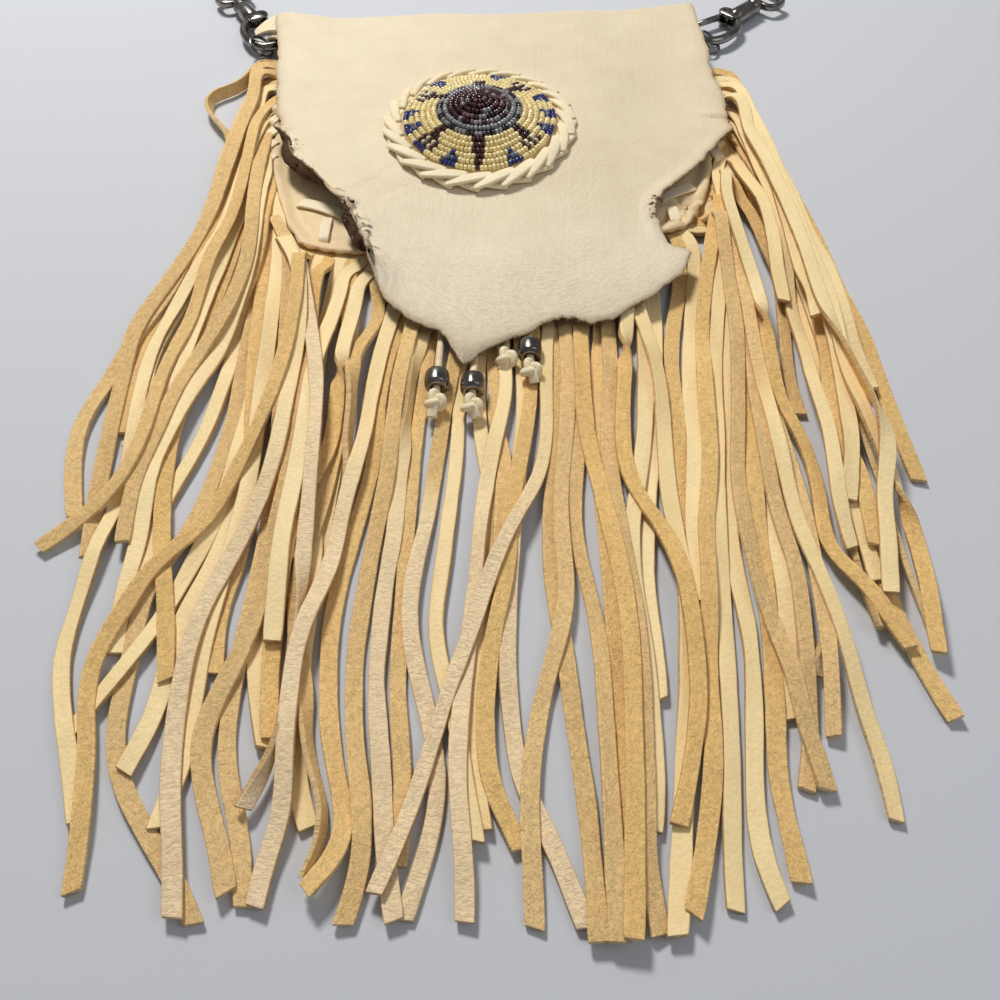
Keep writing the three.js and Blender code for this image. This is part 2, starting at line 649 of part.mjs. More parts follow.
// Leather loop round the hook's rod, with a tail that is caught in the side seam's top
function loopGeometry(tailLow) {
  const inside = hookRod / 2 + loopSlack;
  const outside = inside + loopWall;
  const shape = new THREE.Shape();
  const tailHigh = tailLow + loopWall;
  shape.moveTo(0, -outside);
  shape.lineTo(outside, tailLow - 0.6);
  shape.lineTo(outside + 2, tailLow);
  shape.lineTo(loopTail, tailLow);
  shape.lineTo(loopTail, tailHigh);
  shape.lineTo(outside + 2.5, tailHigh);
  shape.quadraticCurveTo(outside, outside, 0, outside);
  shape.absarc(0, 0, outside, Math.PI / 2, 1.5 * Math.PI, false);
  const hole = new THREE.Path().absarc(0, 0, inside, 0, 2 * Math.PI, true);
  shape.holes.push(hole);
  return new THREE.ExtrudeGeometry(shape, { depth: loopWidth, bevelEnabled: false, curveSegments: 10 })
    .translate(0, 0, -loopWidth / 2)
    .rotateX(Math.PI / 2);
}

const hookHeight = barrelDiameter / 2 + floorGap;
const foldHalf = Math.max(flapWidth, pouchWidth) / 2;
for (const [side, place] of Object.entries(hookLays)) {
  const hook = new THREE.Group();
  hook.position.set((place.flip ? 1 : -1) * (foldHalf + place.past), foldY + place.above, hookHeight);
  hook.rotation.z = THREE.MathUtils.degToRad(place.shankAngle);
  const turnedOver = new THREE.Group();
  turnedOver.rotation.y = place.flip ? Math.PI : 0;
  hook.add(turnedOver);
  add(`hook_body_${side}`, hookBodyGeometry(), metal(), turnedOver);
  add(`hook_gate_${side}`, gateGeometry(), metal(), turnedOver);
  const pin = new THREE.CylinderGeometry(gatePinDiameter / 2, gatePinDiameter / 2, lugThickness, 12);
  add(`gate_pin_${side}`, pin.rotateX(Math.PI / 2).translate(...gatePivot, 0), metal(), turnedOver);
  add(`swivel_eye_${side}`, eyeGeometry(), metal(), turnedOver);
  add(`hook_ring_${side}`, ringGeometry(), metal(), turnedOver);

  const grip = THREE.MathUtils.degToRad(place.grip) * (place.flip ? -1 : 1);
  const loop = new THREE.Group();
  loop.rotation.z = grip - Math.PI / 2;
  loop.position.set(hookReach * Math.sin(grip), -hookReach * Math.cos(grip), 0);
  hook.add(loop);
  add(`corner_loop_${side}`, loopGeometry(headerBottom - hookHeight), leather(0xf3e2b4), loop);
  bag.add(hook);
}

export default bag;
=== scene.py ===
"""Fringed suede bag with a beaded rosette, lying on its back with its fringe spread below it.

Lengths are millimetres until a mesh or curve is made, which turns them into metres.
"""
import math

import bmesh
import bpy
import numpy as np
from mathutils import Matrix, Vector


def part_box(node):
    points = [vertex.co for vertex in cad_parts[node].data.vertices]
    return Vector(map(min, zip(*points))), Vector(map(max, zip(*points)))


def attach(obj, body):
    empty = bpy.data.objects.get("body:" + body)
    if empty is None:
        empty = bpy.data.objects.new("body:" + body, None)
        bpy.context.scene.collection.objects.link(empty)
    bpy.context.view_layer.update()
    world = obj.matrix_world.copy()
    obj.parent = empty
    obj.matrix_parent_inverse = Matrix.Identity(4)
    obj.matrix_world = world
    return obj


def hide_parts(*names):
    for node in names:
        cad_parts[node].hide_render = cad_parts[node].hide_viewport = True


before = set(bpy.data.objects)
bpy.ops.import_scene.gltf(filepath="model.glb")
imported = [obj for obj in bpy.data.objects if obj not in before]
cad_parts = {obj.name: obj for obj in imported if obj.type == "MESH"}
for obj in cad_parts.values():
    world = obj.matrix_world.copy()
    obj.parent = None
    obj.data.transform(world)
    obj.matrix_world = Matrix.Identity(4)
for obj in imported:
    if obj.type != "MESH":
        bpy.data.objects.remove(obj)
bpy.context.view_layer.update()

MM = 0.001
BODY = "bag"

# Camera, in millimetres and pixels of the 1000 by 1000 picture
EYE = (2.8, -406.5, 270.0)
LOOK_DOWN = math.radians(52)
FOCAL = 1082.0
PICTURE = 1000.0
SENSOR = 36.0

# Studio, in metres and watts
SKY_COLOUR = (0.93, 0.96, 1.0)
SKY_STRENGTH = 0.215
AIM = (0.0, -0.12, 0.0)
LIGHTS = {
    "key": {"place": (-0.35, 0.62, 1.05), "size": 0.30, "power": 14.3, "colour": (1.0, 0.97, 0.92)},
    "fill": {"place": (0.9, -0.5, 1.1), "size": 0.9, "power": 2.6, "colour": (0.95, 0.97, 1.0)},
}
FLOOR_HALF = 3.0
FLOOR_LEVEL = -0.0004
FLOOR_TONE = (206, 209, 216)
FLOOR_ROUGHNESS = 0.85

# Leather
HIDE = 1.6
STRIP_WIDTH = 4.9
STRIP = 1.7
LAYER_GAP = 0.3

# Pouch and flap
POUCH_WIDTH = 180.0
POUCH_DEPTH = 163.0
POUCH_BULGE = 6.5
BULGE_RAMP = 55.0
SEAM_MARGIN = 9.0
FLAP_WIDTH = 196.0
FLAP_LENGTH = 220.0
FOLD_DROP = 5.5
FLAP_CLEARANCE = 3.6
TIP_DROP = 2.2
FOLD_SIDE_LIFT = 3.2
FOLD_Y = POUCH_DEPTH / 2 - FOLD_DROP
HEADER_BOTTOM = HIDE + LAYER_GAP
PANEL_BOTTOM = HEADER_BOTTOM + HIDE + LAYER_GAP
SEAM_TOP = PANEL_BOTTOM + HIDE
FRINGE_TOP_GAP = 8.0

# Rosette
ROSETTE = (-5.5, FOLD_Y - 90.0)
DOME_RADIUS = 31.0
BEAD_ROW = 2.3
BEAD_PITCH = 1.62
BRAID_WIDTH = 7.0

# Outlines, in half widths and half depths of the pouch, and in half widths and lengths of the flap
POUCH_LEFT = [(-0.96, 0.785), (-1.0, 0.4), (-1.02, 0.1), (-1.018, -0.2), (-0.99, -0.41),
              (-0.955, -0.55), (-0.9, -0.765), (-0.815, -0.92)]
POUCH_BOTTOM = [(-0.815, -0.92), (-0.72, -0.97), (-0.6, -0.993), (-0.2, -1.0), (0.1, -0.98),
                (0.4, -0.94), (0.62, -0.89), (0.78, -0.83), (0.87, -0.75)]
POUCH_RIGHT = [(0.96, 0.785), (1.0, 0.4), (1.035, 0.1), (1.03, -0.11), (0.99, -0.33),
               (0.94, -0.55), (0.87, -0.75)]
FOLD_LINE = [(-1.03, -0.012), (-0.44, 0.017), (0.12, 0.025), (0.5, -0.008), (0.95, -0.055)]
FLAP_LEFT = [(-1.03, -0.012), (-1.0, 0.073), (-0.978, 0.175), (-0.95, 0.268), (-0.918, 0.344),
             (-0.88, 0.396), (-0.798, 0.46), (-0.691, 0.538), (-0.585, 0.605), (-0.55, 0.622),
             (-0.469, 0.688), (-0.44, 0.735), (-0.43, 0.804)]
FLAP_RIGHT = [(0.95, -0.055), (0.966, 0.06), (0.977, 0.175), (0.997, 0.268), (1.015, 0.343),
              (0.99, 0.38), (0.85, 0.484), (0.721, 0.553), (0.644, 0.596), (0.615, 0.625),
              (0.62, 0.658), (0.671, 0.715), (0.752, 0.738)]
FLAP_BOTTOM = [(-0.43, 0.804), (-0.401, 0.846), (-0.297, 0.894), (-0.19, 0.921), (-0.1, 1.0),
               (-0.028, 0.964), (0.136, 0.921), (0.228, 0.891), (0.297, 0.889), (0.349, 0.9),
               (0.434, 0.894), (0.6, 0.836), (0.704, 0.794), (0.752, 0.738)]

# Ties, in metres, as the CAD model has them
TIE_DIAMETER = 0.0026
TIE_ROUTES = {
    1: [(-0.013, -0.052, 0.0092), (-0.014, -0.060, 0.0083), (-0.015, -0.070, 0.0075),
        (-0.0158, -0.080, 0.0072), (-0.0165, -0.090, 0.0054), (-0.017, -0.100, 0.0042),
        (-0.0175, -0.112, 0.0038), (-0.0179, -0.124, 0.0039), (-0.0182, -0.134, 0.0046),
        (-0.0184, -0.142, 0.0058), (-0.0185, -0.149, 0.0062), (-0.0186, -0.154, 0.0061)],
    2: [(-0.005, -0.052, 0.0092), (-0.005, -0.060, 0.0083), (-0.005, -0.070, 0.0075),
        (-0.0052, -0.080, 0.0072), (-0.0054, -0.090, 0.0054), (-0.0056, -0.100, 0.0042),
        (-0.0058, -0.112, 0.0038), (-0.006, -0.126, 0.0037), (-0.0061, -0.136, 0.0039),
        (-0.0062, -0.141, 0.0048), (-0.0063, -0.1455, 0.006), (-0.0064, -0.151, 0.0062),
        (-0.0065, -0.156, 0.0061)],
    3: [(0.012, -0.052, 0.0092), (0.0122, -0.060, 0.0083), (0.0124, -0.070, 0.0075),
        (0.0125, -0.080, 0.0072), (0.0126, -0.090, 0.0054), (0.0127, -0.100, 0.0042),
        (0.0128, -0.110, 0.0038), (0.0129, -0.118, 0.0038), (0.013, -0.124, 0.0046),
        (0.0131, -0.129, 0.0059), (0.0132, -0.1345, 0.0062), (0.0133, -0.1394, 0.0061)],
    4: [(0.004, -0.052, 0.0092), (0.0041, -0.060, 0.0083), (0.0042, -0.070, 0.0075),
        (0.0043, -0.080, 0.0072), (0.0044, -0.090, 0.0054), (0.0045, -0.100, 0.0042),
        (0.0046, -0.110, 0.0038), (0.0048, -0.122, 0.0038), (0.005, -0.1325, 0.0046)],
}
BEAD_PLACES = {1: (-18.5, -149.0, 6.2), 2: (-6.4, -151.0, 6.2), 3: (13.2, -134.5, 6.2)}


# Camera, light and floor

def add_camera():
    data = bpy.data.cameras.new("camera")
    data.sensor_width = SENSOR
    data.lens = SENSOR * FOCAL / PICTURE
    data.clip_start = 0.01
    camera = bpy.data.objects.new("camera", data)
    camera.location = [value * MM for value in EYE]
    camera.rotation_euler = (math.pi / 2 - LOOK_DOWN, 0, 0)
    bpy.context.scene.collection.objects.link(camera)
    bpy.context.scene.camera = camera


def seen_at(px, py, z):
    """The place at height z that the camera sees at a pixel of the picture."""
    across = (px - PICTURE / 2) / FOCAL
    up = (PICTURE / 2 - py) / FOCAL
    ahead = math.cos(LOOK_DOWN) + up * math.sin(LOOK_DOWN)
    rise = -math.sin(LOOK_DOWN) + up * math.cos(LOOK_DOWN)
    far = (z - EYE[2]) / rise
    return EYE[0] + across * far, EYE[1] + ahead * far


def linear(r, g, b):
    """A colour of 0 to 255, as seen, as the numbers that a shader takes."""
    return tuple(((v / 255 + 0.055) / 1.055) ** 2.4 if v > 10 else v / 255 / 12.92 for v in (r, g, b))


def add_light(name, place, size, power, colour):
    data = bpy.data.lights.new(name, "AREA")
    data.shape = "DISK"
    data.size = size
    data.energy = power
    data.color = colour
    light = bpy.data.objects.new(name, data)
    light.location = place
    way = np.array(AIM) - np.array(place)
    flat = math.hypot(way[0], way[1])
    light.rotation_euler = (math.atan2(flat, -way[2]), 0, math.atan2(-way[0], way[1]))
    bpy.context.scene.collection.objects.link(light)


def add_floor():
    data = bpy.data.meshes.new("floor")
    half, level = FLOOR_HALF, FLOOR_LEVEL
    corners = [(-half, -half, level), (half, -half, level), (half, half, level), (-half, half, level)]
    data.from_pydata(corners, [], [(0, 1, 2, 3)])
    material, _, shader = new_material("floor")
    shader.inputs["Base Color"].default_value = (*linear(*FLOOR_TONE), 1)
    shader.inputs["Roughness"].default_value = FLOOR_ROUGHNESS
    data.materials.append(material)
    link("floor", data)


def add_studio():
    scene = bpy.context.scene
    scene.view_settings.view_transform = "Standard"
    world = bpy.data.worlds.new("studio")
    world.use_nodes = True
    back = world.node_tree.nodes["Background"]
    back.inputs["Color"].default_value = (*SKY_COLOUR, 1)
    back.inputs["Strength"].default_value = SKY_STRENGTH
    scene.world = world
    for name, light in LIGHTS.items():
        add_light(name, **light)
    add_floor()


# Small mathematics

SPLINE_STEPS = 24
RIPPLES = 14


def smooth(value, low, high):
    t = np.clip((value - low) / (high - low), 0, 1)
    return t * t * (3 - 2 * t)


def blended(a, b, low, high, t):
    return (high - t) / (high - low) * a + (t - low) / (high - low) * b


def spline(points, count):
    """Points at even distances along a centripetal spline through the given ones."""
    points = np.asarray(points, float)
    padded = np.vstack([2 * points[0] - points[1], points, 2 * points[-1] - points[-2]])
    out = []
    for k in range(len(points) - 1):
        p0, p1, p2, p3 = padded[k:k + 4]
        knots = [0.0]
        for a, b in ((p0, p1), (p1, p2), (p2, p3)):
            knots.append(knots[-1] + max(np.linalg.norm(b - a), 1e-6) ** 0.5)
        t0, t1, t2, t3 = knots
        t = np.linspace(t1, t2, SPLINE_STEPS, endpoint=False)[:, None]
        a1, a2, a3 = blended(p0, p1, t0, t1, t), blended(p1, p2, t1, t2, t), blended(p2, p3, t2, t3, t)
        out.append(blended(blended(a1, a2, t0, t2, t), blended(a2, a3, t1, t3, t), t1, t2, t))
    return resample(np.vstack(out + [points[-1:]]), count)


def distances(points):
    return np.concatenate([[0], np.cumsum(np.linalg.norm(np.diff(points, axis=0), axis=1))])


def resample(points, count):
    """Points at even distances along straight runs between the given ones."""
    along = distances(points)
    goal = np.linspace(0, along[-1], count)
    return np.stack([np.interp(goal, along, points[:, k]) for k in range(points.shape[1])], axis=1)


def straight(points, count):
    """Points at even shares of the list along straight runs between the given ones."""
    points = np.asarray(points, float)
    goal = np.linspace(0, len(points) - 1, count)
    return np.stack([np.interp(goal, np.arange(len(points)), points[:, k]) for k in (0, 1)], axis=1)


def wander(rng, count, step, amount):
    """A smooth random line of count values that changes about every step values."""
    knots = max(4, int(count / step) + 4)
    values = rng.normal(0, amount, knots)
    x = np.linspace(1, knots - 2, count)
    base = np.floor(x).astype(int)
    t = x - base
    t = t * t * (3 - 2 * t)
    return values[base] * (1 - t) + values[np.minimum(base + 1, knots - 1)] * t


def ripple(x, y, seed, wavelength):
    """Smooth random waves over the plane, about 1 high."""
    rng = np.random.default_rng(seed)
    total = np.zeros_like(np.asarray(x, float))
    for _ in range(RIPPLES):
        angle = rng.uniform(0, 2 * math.pi)
        length = wavelength * rng.uniform(0.6, 1.7)
        phase = rng.uniform(0, 2 * math.pi)
        total = total + np.sin(2 * math.pi * (x * math.cos(angle) + y * math.sin(angle)) / length + phase)
    return total / math.sqrt(RIPPLES)


def pouch_point(point):
    return point[0] * POUCH_WIDTH / 2, point[1] * POUCH_DEPTH / 2


def flap_point(point):
    return point[0] * FLAP_WIDTH / 2, FOLD_Y - point[1] * FLAP_LENGTH


def panel_top(x, y):
    """Height of the front panel's upper side without its rim and puckers."""
    side = POUCH_WIDTH / 2 - np.abs(x) - SEAM_MARGIN
    bottom = y + POUCH_DEPTH / 2 - SEAM_MARGIN
    return SEAM_TOP + POUCH_BULGE * smooth(side, 0, BULGE_RAMP) * smooth(bottom, 0, BULGE_RAMP)


def flap_top(x, y):
    """Height of the flap's upper side without its waves and rolled edges."""
    past = smooth(-y, POUCH_DEPTH / 2, FLAP_LENGTH - FOLD_Y)
    lift = FOLD_SIDE_LIFT * smooth(y, 0, FOLD_Y) * smooth(np.abs(x), POUCH_WIDTH / 6, FLAP_WIDTH / 2)
    return panel_top(x, y) + FLAP_CLEARANCE + HIDE - TIP_DROP * past + lift


# Meshes

def link(name, data):
    piece = bpy.data.objects.new(name, data)
    bpy.context.scene.collection.objects.link(piece)
    return piece


def mesh_object(name, points, faces, material, values=None, colours=None, uv=None):
    """A smooth piece from points in millimetres. values, colours and uv have a row for each point."""
    mesh = bpy.data.meshes.new(name)
    places = (np.asarray(points, float) * MM).tolist()
    mesh.from_pydata(places, [], [tuple(int(i) for i in face) for face in faces])
    mesh.materials.append(material)
    mesh.polygons.foreach_set("use_smooth", [True] * len(mesh.polygons))
    for key, data in (values or {}).items():
        layer = mesh.attributes.new(key, "FLOAT", "POINT")
        layer.data.foreach_set("value", np.asarray(data, np.float32))
    for key, data in (colours or {}).items():
        layer = mesh.attributes.new(key, "FLOAT_COLOR", "POINT")
        rgba = np.ones((len(data), 4), np.float32)
        rgba[:, :3] = data
        layer.data.foreach_set("color", rgba.ravel())
    if uv is not None:
        layer = mesh.uv_layers.new(name="hide")
        loops = np.zeros(len(mesh.loops), np.int32)
        mesh.loops.foreach_get("vertex_index", loops)
        layer.data.foreach_set("uv", (np.asarray(uv, float) * MM)[loops].astype(np.float32).ravel())
    mesh.update()
    return link(name, mesh)


class Soup:
    """Points, faces and per-point values of one piece, gathered from many small forms."""

    def __init__(self):
        self.points, self.faces, self.uv = [], [], []
        self.values, self.colours = {}, {}
        self.count = 0

    def add(self, points, faces, uv=None, values=None, colours=None):
        points = np.asarray(points, float)
        self.points.append(points)
        self.faces.extend([tuple(i + self.count for i in face) for face in faces])
        self.uv.append(np.zeros((len(points), 2)) if uv is None else np.asarray(uv, float))
        for key, data in (values or {}).items():
            self.values.setdefault(key, []).append(np.broadcast_to(data, len(points)))
        for key, data in (colours or {}).items():
            self.colours.setdefault(key, []).append(np.broadcast_to(data, (len(points), 3)))
        self.count += len(points)

    def piece(self, name, material):
        values = {key: np.concatenate(data) for key, data in self.values.items()}
        colours = {key: np.vstack(data) for key, data in self.colours.items()}
        return mesh_object(name, np.vstack(self.points), self.faces, material, values, colours,
                           np.vstack(self.uv))


def placed(piece, stands_for=None, body=BODY):
    """Give a piece its body, and hide the CAD piece that it stands for."""
    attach(piece, body)
    if stands_for:
        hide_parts(stands_for)
    return piece


# A loose fibre is a thin spike: three points at its root and one at its tip
FIBRE_FACES = [(0, 1, 3), (1, 2, 3), (2, 0, 3), (0, 2, 1)]


def add_fibre(soup, root, tip, uv, tone):
    soup.add([*root, tip], FIBRE_FACES, uv, values={"nap": 1.0, "crease": 0.0}, colours={"tone": tone})


def frames_along(path, up=(0, 0, 1)):
    """Unit vectors along, across and above a path, with the last as near to up as it goes."""
    way = np.gradient(path, axis=0)
    way /= np.linalg.norm(way, axis=1)[:, None]
    up = np.broadcast_to(np.asarray(up, float), path.shape)
    across = np.cross(way, up)
    length = np.linalg.norm(across, axis=1)[:, None]
    across = across / np.maximum(length, 1e-6)
    above = np.cross(across, way)
    return way, across, above


def tube(path, across, above, section):
    """Points and faces of a closed tube. section lists (across, above) offsets for each path point."""
    count, sides = section.shape[:2]
    points = (path[:, None, :] + across[:, None, :] * section[:, :, :1]
              + above[:, None, :] * section[:, :, 1:])
    faces = []
    for i in range(count - 1):
        for j in range(sides):
            k = (j + 1) % sides
            faces.append((i * sides + j, i * sides + k, (i + 1) * sides + k, (i + 1) * sides + j))
    faces.append(tuple(reversed(range(sides))))
    faces.append(tuple(range((count - 1) * sides, count * sides)))
    return points.reshape(-1, 3), faces


def round_section(count, radius, sides=10):
    angle = np.linspace(0, 2 * math.pi, sides, endpoint=False)
    ring = np.stack([np.cos(angle), np.sin(angle)], axis=1)
    radius = np.broadcast_to(np.asarray(radius, float), count)
    return ring[None] * radius[:, None, None]


def band_section(width, thickness, round_off=0.35, cup=0.0):
    """Section of a flat strip with rounded edges, anticlockwise from its lower left."""
    width, thickness, cup = np.broadcast_arrays(*(np.atleast_1d(np.asarray(v, float))
                                                  for v in (width, thickness, cup)))
    w = width[:, None] / 2
    t = thickness[:, None] / 2
    r = round_off * np.minimum(w, t)
    x = np.hstack([-w + r, -w + 1.8 * r, w - 1.8 * r, w - r, w - 0.3 * r, w, w, w - 0.3 * r,
                   w - r, w - 1.8 * r, -w + 1.8 * r, -w + r, -w + 0.3 * r, -w, -w, -w + 0.3 * r])
    y = np.hstack([-t, -t, -t, -t, -t + 0.3 * r, -t + r, t - r, t - 0.3 * r,
                   t, t, t, t, t - 0.3 * r, t - r, -t + r, -t + 0.3 * r])
    y = y + cup[:, None] * (x / w) ** 2
    return np.stack([x, y], axis=2)


# The points of band_section: how many, which are on top, where they lie across, and which are on an edge
SECTION = 16
TOP_SIDE = np.array([0, 0, 0, 0, 0, 0.1, 0.9, 1, 1, 1, 1, 1, 1, 0.9, 0.1, 0])
ACROSS = np.array([-0.47, -0.43, 0.43, 0.47, 0.49, 0.5, 0.5, 0.49,
                   0.47, 0.43, -0.43, -0.47, -0.49, -0.5, -0.5, -0.49])
EDGE = np.array([0, 0, 0, 0, 0.5, 1, 1, 0.5, 0, 0, 0, 0, 0.5, 1, 1, 0.5])


def lathe(profile, segments=32):
    """A form turned about +Y, from (radius, height) points that close on themselves or on the axis."""
    points, faces, rows = [], [], []
    for radius, height in profile:
        if radius < 1e-6:
            rows.append([len(points)])
            points.append((0, height, 0))
        else:
            rows.append(list(range(len(points), len(points) + segments)))
            for k in range(segments):
                angle = 2 * math.pi * k / segments
                points.append((radius * math.cos(angle), height, radius * math.sin(angle)))
    for low, high in zip(rows[:-1], rows[1:]):
        for k in range(segments):
            n = (k + 1) % segments
            if len(low) == 1 and len(high) > 1:
                faces.append((low[0], high[k], high[n]))
            elif len(high) == 1 and len(low) > 1:
                faces.append((low[k], high[0], low[n]))
            elif len(low) > 1:
                faces.append((low[k], high[k], high[n], low[n]))
    return np.array(points, float), faces


# Materials, with texture scales a metre and bump heights in metres

BLOTCH_SCALE = 60.0
WARM_SCALE = 90.0
LONG_FOLD_SCALE = 330.0
WORM_SCALE = 430.0
TUFT_SCALE = 620.0
PORE_SCALE = 780.0
WRINKLE_SCALE = 1000.0
FIBRE_SCALE = 2300.0
NAP_BUMP = 0.0006
PORE_BUMP = 0.00022
WRINKLE_BUMP = 0.00045
LONG_FOLD_BUMP = 0.00035
BEAD_CLOUD_SCALE = 700.0
BEAD_WEAR_SCALE = 1600.0
SMEAR_SCALE = 160.0
SCRATCH_SCALE = 2600.0
SCRATCH_BUMP = 0.00002
WEAVE_SCALE = 2200.0
WEAVE_BUMP = 0.0002
LACE_CLOUD_SCALE = 260.0
LACE_GRAIN_SCALE = 1400.0
LACE_BUMP = 0.00015
WARM_TINT = linear(236, 206, 168)
NICKEL_DARK = linear(116, 111, 106)
NICKEL_LIGHT = linear(166, 161, 155)
LACE_WORN = linear(228, 202, 156)
LACE_CLEAN = linear(250, 233, 196)


def new_material(name):
    material = bpy.data.materials.new(name)
    material.use_nodes = True
    tree = material.node_tree
    return material, tree, tree.nodes["Principled BSDF"]


def node(tree, kind, **settings):
    made = tree.nodes.new(kind)
    for key, value in settings.items():
        if key in made.inputs:
            made.inputs[key].default_value = value
        else:
            setattr(made, key, value)
    return made


def mixed(tree, mode, factor, a, b):
    mix = tree.nodes.new("ShaderNodeMix")
    mix.data_type = "RGBA"
    mix.blend_type = mode
    for socket, value in (("Factor_Float", factor), ("A_Color", a), ("B_Color", b)):
        target = next(s for s in mix.inputs if s.identifier == socket)
        if isinstance(value, bpy.types.NodeSocket):
            tree.links.new(value, target)
        elif socket == "Factor_Float":
            target.default_value = value
        else:
            target.default_value = (*value[:3], 1)
    return next(s for s in mix.outputs if s.identifier == "Result_Color")


def ramp(tree, source, low, high, low_value=0.0, high_value=1.0):
    made = node(tree, "ShaderNodeMapRange")
    tree.links.new(source, made.inputs["Value"])
    made.inputs["From Min"].default_value = low
    made.inputs["From Max"].default_value = high
    made.inputs["To Min"].default_value = low_value
    made.inputs["To Max"].default_value = high_value
    return made.outputs["Result"]


def maths(tree, kind, a, b=None):
    made = node(tree, "ShaderNodeMath", operation=kind)
    for socket, value in zip(made.inputs, (a, b)):
        if isinstance(value, bpy.types.NodeSocket):
            tree.links.new(value, socket)
        elif value is not None:
            socket.default_value = value
    return made.outputs[0]


def noise(tree, where, scale, detail=4.0, roughness=0.55, distortion=0.0):
    made = node(tree, "ShaderNodeTexNoise", Scale=scale, Detail=detail, Roughness=roughness,
                Distortion=distortion)
    tree.links.new(where, made.inputs["Vector"])
    return made.outputs["Fac"]


def scaled(tree, where, x, y, z=1.0):
    made = node(tree, "ShaderNodeMapping")
    made.inputs["Scale"].default_value = (x, y, z)
    tree.links.new(where, made.inputs["Vector"])
    return made.outputs["Vector"]


def bumped(tree, height, distance, strength, below=None):
    made = node(tree, "ShaderNodeBump")
    made.inputs["Distance"].default_value = distance
    if isinstance(strength, bpy.types.NodeSocket):
        tree.links.new(strength, made.inputs["Strength"])
    else:
        made.inputs["Strength"].default_value = strength
    tree.links.new(height, made.inputs["Height"])
    if below is not None:
        tree.links.new(below, made.inputs["Normal"])
    return made.outputs["Normal"]


def shaded(tree, tone, value):
    """A colour made lighter or darker by a value."""
    made = node(tree, "ShaderNodeVectorMath", operation="SCALE")
    tree.links.new(tone, made.inputs[0])
    tree.links.new(value, made.inputs["Scale"])
    return made.outputs[0]


def suede_figure(tree, where):
    """Shade and height of napped leather: soft tufts, fine fibres and thin winding grooves."""
    fibre = noise(tree, scaled(tree, where, 1.0, 0.6), FIBRE_SCALE, 4.0, 0.7)
    tuft = noise(tree, scaled(tree, where, 1.0, 0.85), TUFT_SCALE, 3.0, 0.55, 0.7)
    worm = noise(tree, scaled(tree, where, 1.0, 0.75), WORM_SCALE, 3.0, 0.5, 1.6)
    mottle = ramp(tree, tuft, 0.36, 0.62, 0.93, 1.09)
    fleck = ramp(tree, fibre, 0.32, 0.70, 0.965, 1.03)
    groove = ramp(tree, maths(tree, "ABSOLUTE", maths(tree, "SUBTRACT", worm, 0.5)), 0.0, 0.022, 0.80, 1.0)
    shade = maths(tree, "MULTIPLY", maths(tree, "MULTIPLY", mottle, fleck), groove)
    height = maths(tree, "ADD", maths(tree, "ADD", maths(tree, "MULTIPLY", tuft, 1.4), fibre), groove)
    return shade, height


def hide_material():
    """Leather with a smooth grain side and a napped suede side.

    The point colour tone is the base colour, nap is 1 on suede and raw edges and 0 on grain,
    and crease is how strongly the grain is crossed by fine wrinkles.
    """
    material, tree, shader = new_material("hide")
    tone = node(tree, "ShaderNodeAttribute", attribute_name="tone").outputs["Color"]
    nap = node(tree, "ShaderNodeAttribute", attribute_name="nap").outputs["Fac"]
    crease = node(tree, "ShaderNodeAttribute", attribute_name="crease").outputs["Fac"]
    where = node(tree, "ShaderNodeUVMap", uv_map="hide").outputs["UV"]
    plain = maths(tree, "SUBTRACT", 1.0, nap)
    suede, suede_height = suede_figure(tree, where)
    wrinkle = noise(tree, scaled(tree, where, 0.42, 1.1), WRINKLE_SCALE, 3.0, 0.55, 1.2)
    grain = maths(tree, "ADD", maths(tree, "MULTIPLY", ramp(tree, wrinkle, 0.40, 0.56, 0.80, 1.04), crease),
                  maths(tree, "SUBTRACT", 1.0, crease))
    soft = ramp(tree, noise(tree, where, BLOTCH_SCALE, 4.0, 0.6, 0.4), 0.3, 0.7, 0.965, 1.03)
    value = maths(tree, "ADD", maths(tree, "MULTIPLY", suede, nap), maths(tree, "MULTIPLY", grain, plain))
    warm = ramp(tree, noise(tree, where, WARM_SCALE, 3.0, 0.5), 0.42, 0.72, 0.0, 0.10)
    shade = shaded(tree, tone, maths(tree, "MULTIPLY", value, soft))
    tree.links.new(mixed(tree, "MULTIPLY", warm, shade, WARM_TINT), shader.inputs["Base Color"])
    tree.links.new(ramp(tree, nap, 0.0, 1.0, 0.50, 0.95), shader.inputs["Roughness"])
    shader.inputs["Specular IOR Level"].default_value = 0.25
    shader.inputs["Sheen Weight"].default_value = 0.05
    shader.inputs["Sheen Roughness"].default_value = 0.6

    pore = node(tree, "ShaderNodeTexVoronoi", Scale=PORE_SCALE)
    tree.links.new(where, pore.inputs["Vector"])
    long_fold = noise(tree, scaled(tree, where, 1.0, 0.10), LONG_FOLD_SCALE, 3.0, 0.5, 0.3)
    half_plain = maths(tree, "MULTIPLY", plain, 0.5)
    normal = bumped(tree, suede_height, NAP_BUMP, maths(tree, "MULTIPLY", nap, 0.8))
    normal = bumped(tree, pore.outputs["Distance"], PORE_BUMP, half_plain, normal)
    normal = bumped(tree, wrinkle, WRINKLE_BUMP, maths(tree, "MULTIPLY", plain, crease), normal)
    normal = bumped(tree, long_fold, LONG_FOLD_BUMP, half_plain, normal)
    tree.links.new(normal, shader.inputs["Normal"])
    return material


